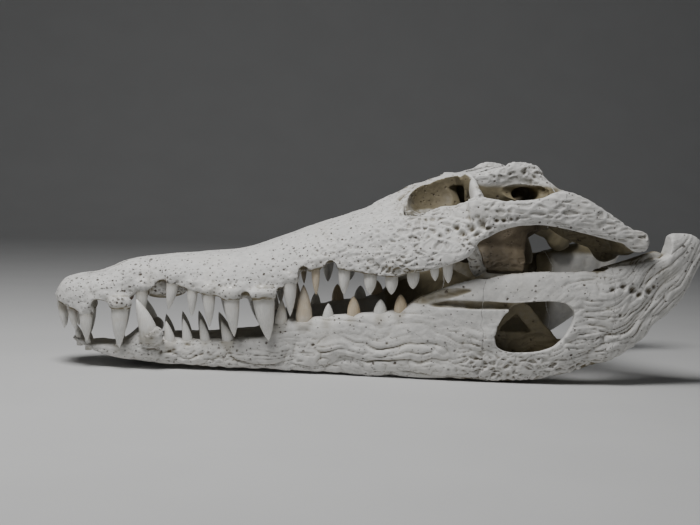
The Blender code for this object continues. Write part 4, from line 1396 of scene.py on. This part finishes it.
class SKULL_OT_teeth(bpy.types.Operator):
    """Build the teeth, one piece for each bone that holds some"""
    bl_idname = "skull.teeth"
    bl_label = "Teeth"

    def execute(self, context):
        sizes = context.scene.skull_sizes
        for bone, rows, sign in (("premaxilla", UPPER_TEETH[:5], -1), ("maxilla", UPPER_TEETH[5:16], -1),
                                 ("jugal", UPPER_TEETH[16:], -1), ("dentary", LOWER_TEETH, 1)):
            for name, side in SIDES:
                mesh = bmesh.new()
                for row in rows:
                    tooth(mesh, side, row, sign, sizes.tooth_sides)
                piece = mesh_object(f"{bone}_{name}_teeth", mesh)
                piece.data.transform(Matrix.Translation((0, 0, sizes.drop)))
                self.mark(piece, rows, sign)
                dress(piece, bpy.data.materials["tooth enamel"])
                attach(piece, "root")
        return {"FINISHED"}

    def mark(self, piece, rows, sign):
        """Note how yellow each tooth is and where its neck lies."""
        spots = read_points(piece.data)[0]
        s, z = spots[:, 0] + CENTRE, spots[:, 2]
        which = np.argmin(np.abs(s[:, None] - np.array([row[0] for row in rows])[None]), axis=1)
        tone = np.array([TOOTH_TONE.get((sign, row[0]), PLAIN_TONE) for row in rows])
        base = np.array([row[2] for row in rows])
        length = np.array([row[3] for row in rows])
        rise = sign * (z - base[which]) / length[which]
        write_mask(piece.data, "tint", tone[which] + 0 * s)
        write_mask(piece.data, "neck", 1 - fade(rise * length[which], .0005, .0065))


class SKULL_OT_stage(bpy.types.Operator):
    """Build the floor, the light and the camera"""
    bl_idname = "skull.stage"
    bl_label = "Stage"

    def execute(self, context):
        look = context.scene.skull_stage
        self.sweep(look)
        for lamp, power in zip(LAMPS, (look.key_power, look.fill_power)):
            self.lamp(context, *lamp, power)
        self.room(context, look)
        self.camera(context, look)
        return {"FINISHED"}

    def sweep(self, look):
        """Floor that curves up into a backdrop."""
        start, radius, steps = 1.6, .9, 12
        front, top, half_width = -4.5, 4, 5
        profile = [(front, 0), (start, 0)]
        for k in range(1, steps + 1):
            turn = math.pi / 2 * k / steps
            profile.append((start + radius * math.sin(turn), radius * (1 - math.cos(turn))))
        profile.append((start + radius, top))
        mesh = bmesh.new()
        rows = [[mesh.verts.new((x, y, z)) for y, z in profile] for x in (-half_width, half_width)]
        for i in range(len(profile) - 1):
            mesh.faces.new((rows[0][i], rows[1][i], rows[1][i + 1], rows[0][i + 1]))
        piece = mesh_object("floor_sweep", mesh)
        dress(piece, floor_material(look))

    def lamp(self, context, name, at, target, size, power):
        """A square lamp that faces a point."""
        data = bpy.data.lights.new(name, "AREA")
        data.size = size
        data.energy = power
        made = bpy.data.objects.new(name, data)
        made.location = at
        made.rotation_euler = (Vector(target) - Vector(at)).to_track_quat("-Z", "Y").to_euler()
        context.scene.collection.objects.link(made)

    def room(self, context, look):
        """Even light from all round."""
        world = bpy.data.worlds.new("room")
        world.use_nodes = True
        shade = world.node_tree.nodes["Background"].inputs
        shade["Color"].default_value = SKY_COLOUR
        shade["Strength"].default_value = look.sky
        context.scene.world = world

    def camera(self, context, look):
        """Camera at the height, turn and slight roll of the photograph."""
        yaw, pitch, roll = (math.radians(angle) for angle in CAMERA_ANGLES)
        flat = Vector((math.sin(yaw), math.cos(yaw), 0))
        ahead = flat * math.cos(pitch) - Vector((0, 0, math.sin(pitch)))
        level = Vector((math.cos(yaw), -math.sin(yaw), 0))
        upright = level.cross(ahead)
        right = level * math.cos(roll) + upright * math.sin(roll)
        up = upright * math.cos(roll) - level * math.sin(roll)
        data = bpy.data.cameras.new("photo_camera")
        data.lens = look.lens
        data.sensor_width = SENSOR_WIDTH
        made = bpy.data.objects.new("photo_camera", data)
        made.matrix_world = Matrix((right, up, -ahead)).transposed().to_4x4()
        made.location = Vector(CAMERA_TARGET) - ahead * look.distance
        context.scene.collection.objects.link(made)
        context.scene.camera = made


class SKULL_PT_looks(bpy.types.Panel):
    """Lists the pieces, sizes and colours of the skull"""
    bl_idname = "SKULL_PT_looks"
    bl_label = "Crocodile skull"
    bl_space_type = "VIEW_3D"
    bl_region_type = "UI"
    bl_category = "Skull"

    def draw(self, context):
        for kind in OPERATORS:
            self.layout.operator(kind.bl_idname)
        for group in (context.scene.skull_sizes, context.scene.skull_colours, context.scene.skull_stage):
            box = self.layout.box()
            for name in group.__annotations__:
                box.prop(group, name)


OPERATORS = (SKULL_OT_lower_jaw, SKULL_OT_cranium, SKULL_OT_teeth, SKULL_OT_stage)
CLASSES = (SkullSizes, SkullColours, StageLook, *OPERATORS, SKULL_PT_looks)


def register():
    for kind in CLASSES:
        bpy.utils.register_class(kind)
    bpy.types.Scene.skull_sizes = PointerProperty(type=SkullSizes)
    bpy.types.Scene.skull_colours = PointerProperty(type=SkullColours)
    bpy.types.Scene.skull_stage = PointerProperty(type=StageLook)


def unregister():
    del bpy.types.Scene.skull_stage
    del bpy.types.Scene.skull_colours
    del bpy.types.Scene.skull_sizes
    for kind in reversed(CLASSES):
        bpy.utils.unregister_class(kind)


def main():
    register()
    colours = bpy.context.scene.skull_colours
    pores, patina_and_shade = pores_group(), patina_and_shade_group()
    bone_material("cranium bone", colours, 0, pores, patina_and_shade)
    bone_material("jaw bone", colours, .04, pores, patina_and_shade)
    enamel_material("tooth enamel", colours)
    bpy.ops.skull.lower_jaw()
    bpy.ops.skull.cranium()
    bpy.ops.skull.teeth()
    bpy.ops.skull.stage()


if __name__ == "__main__":
    main()
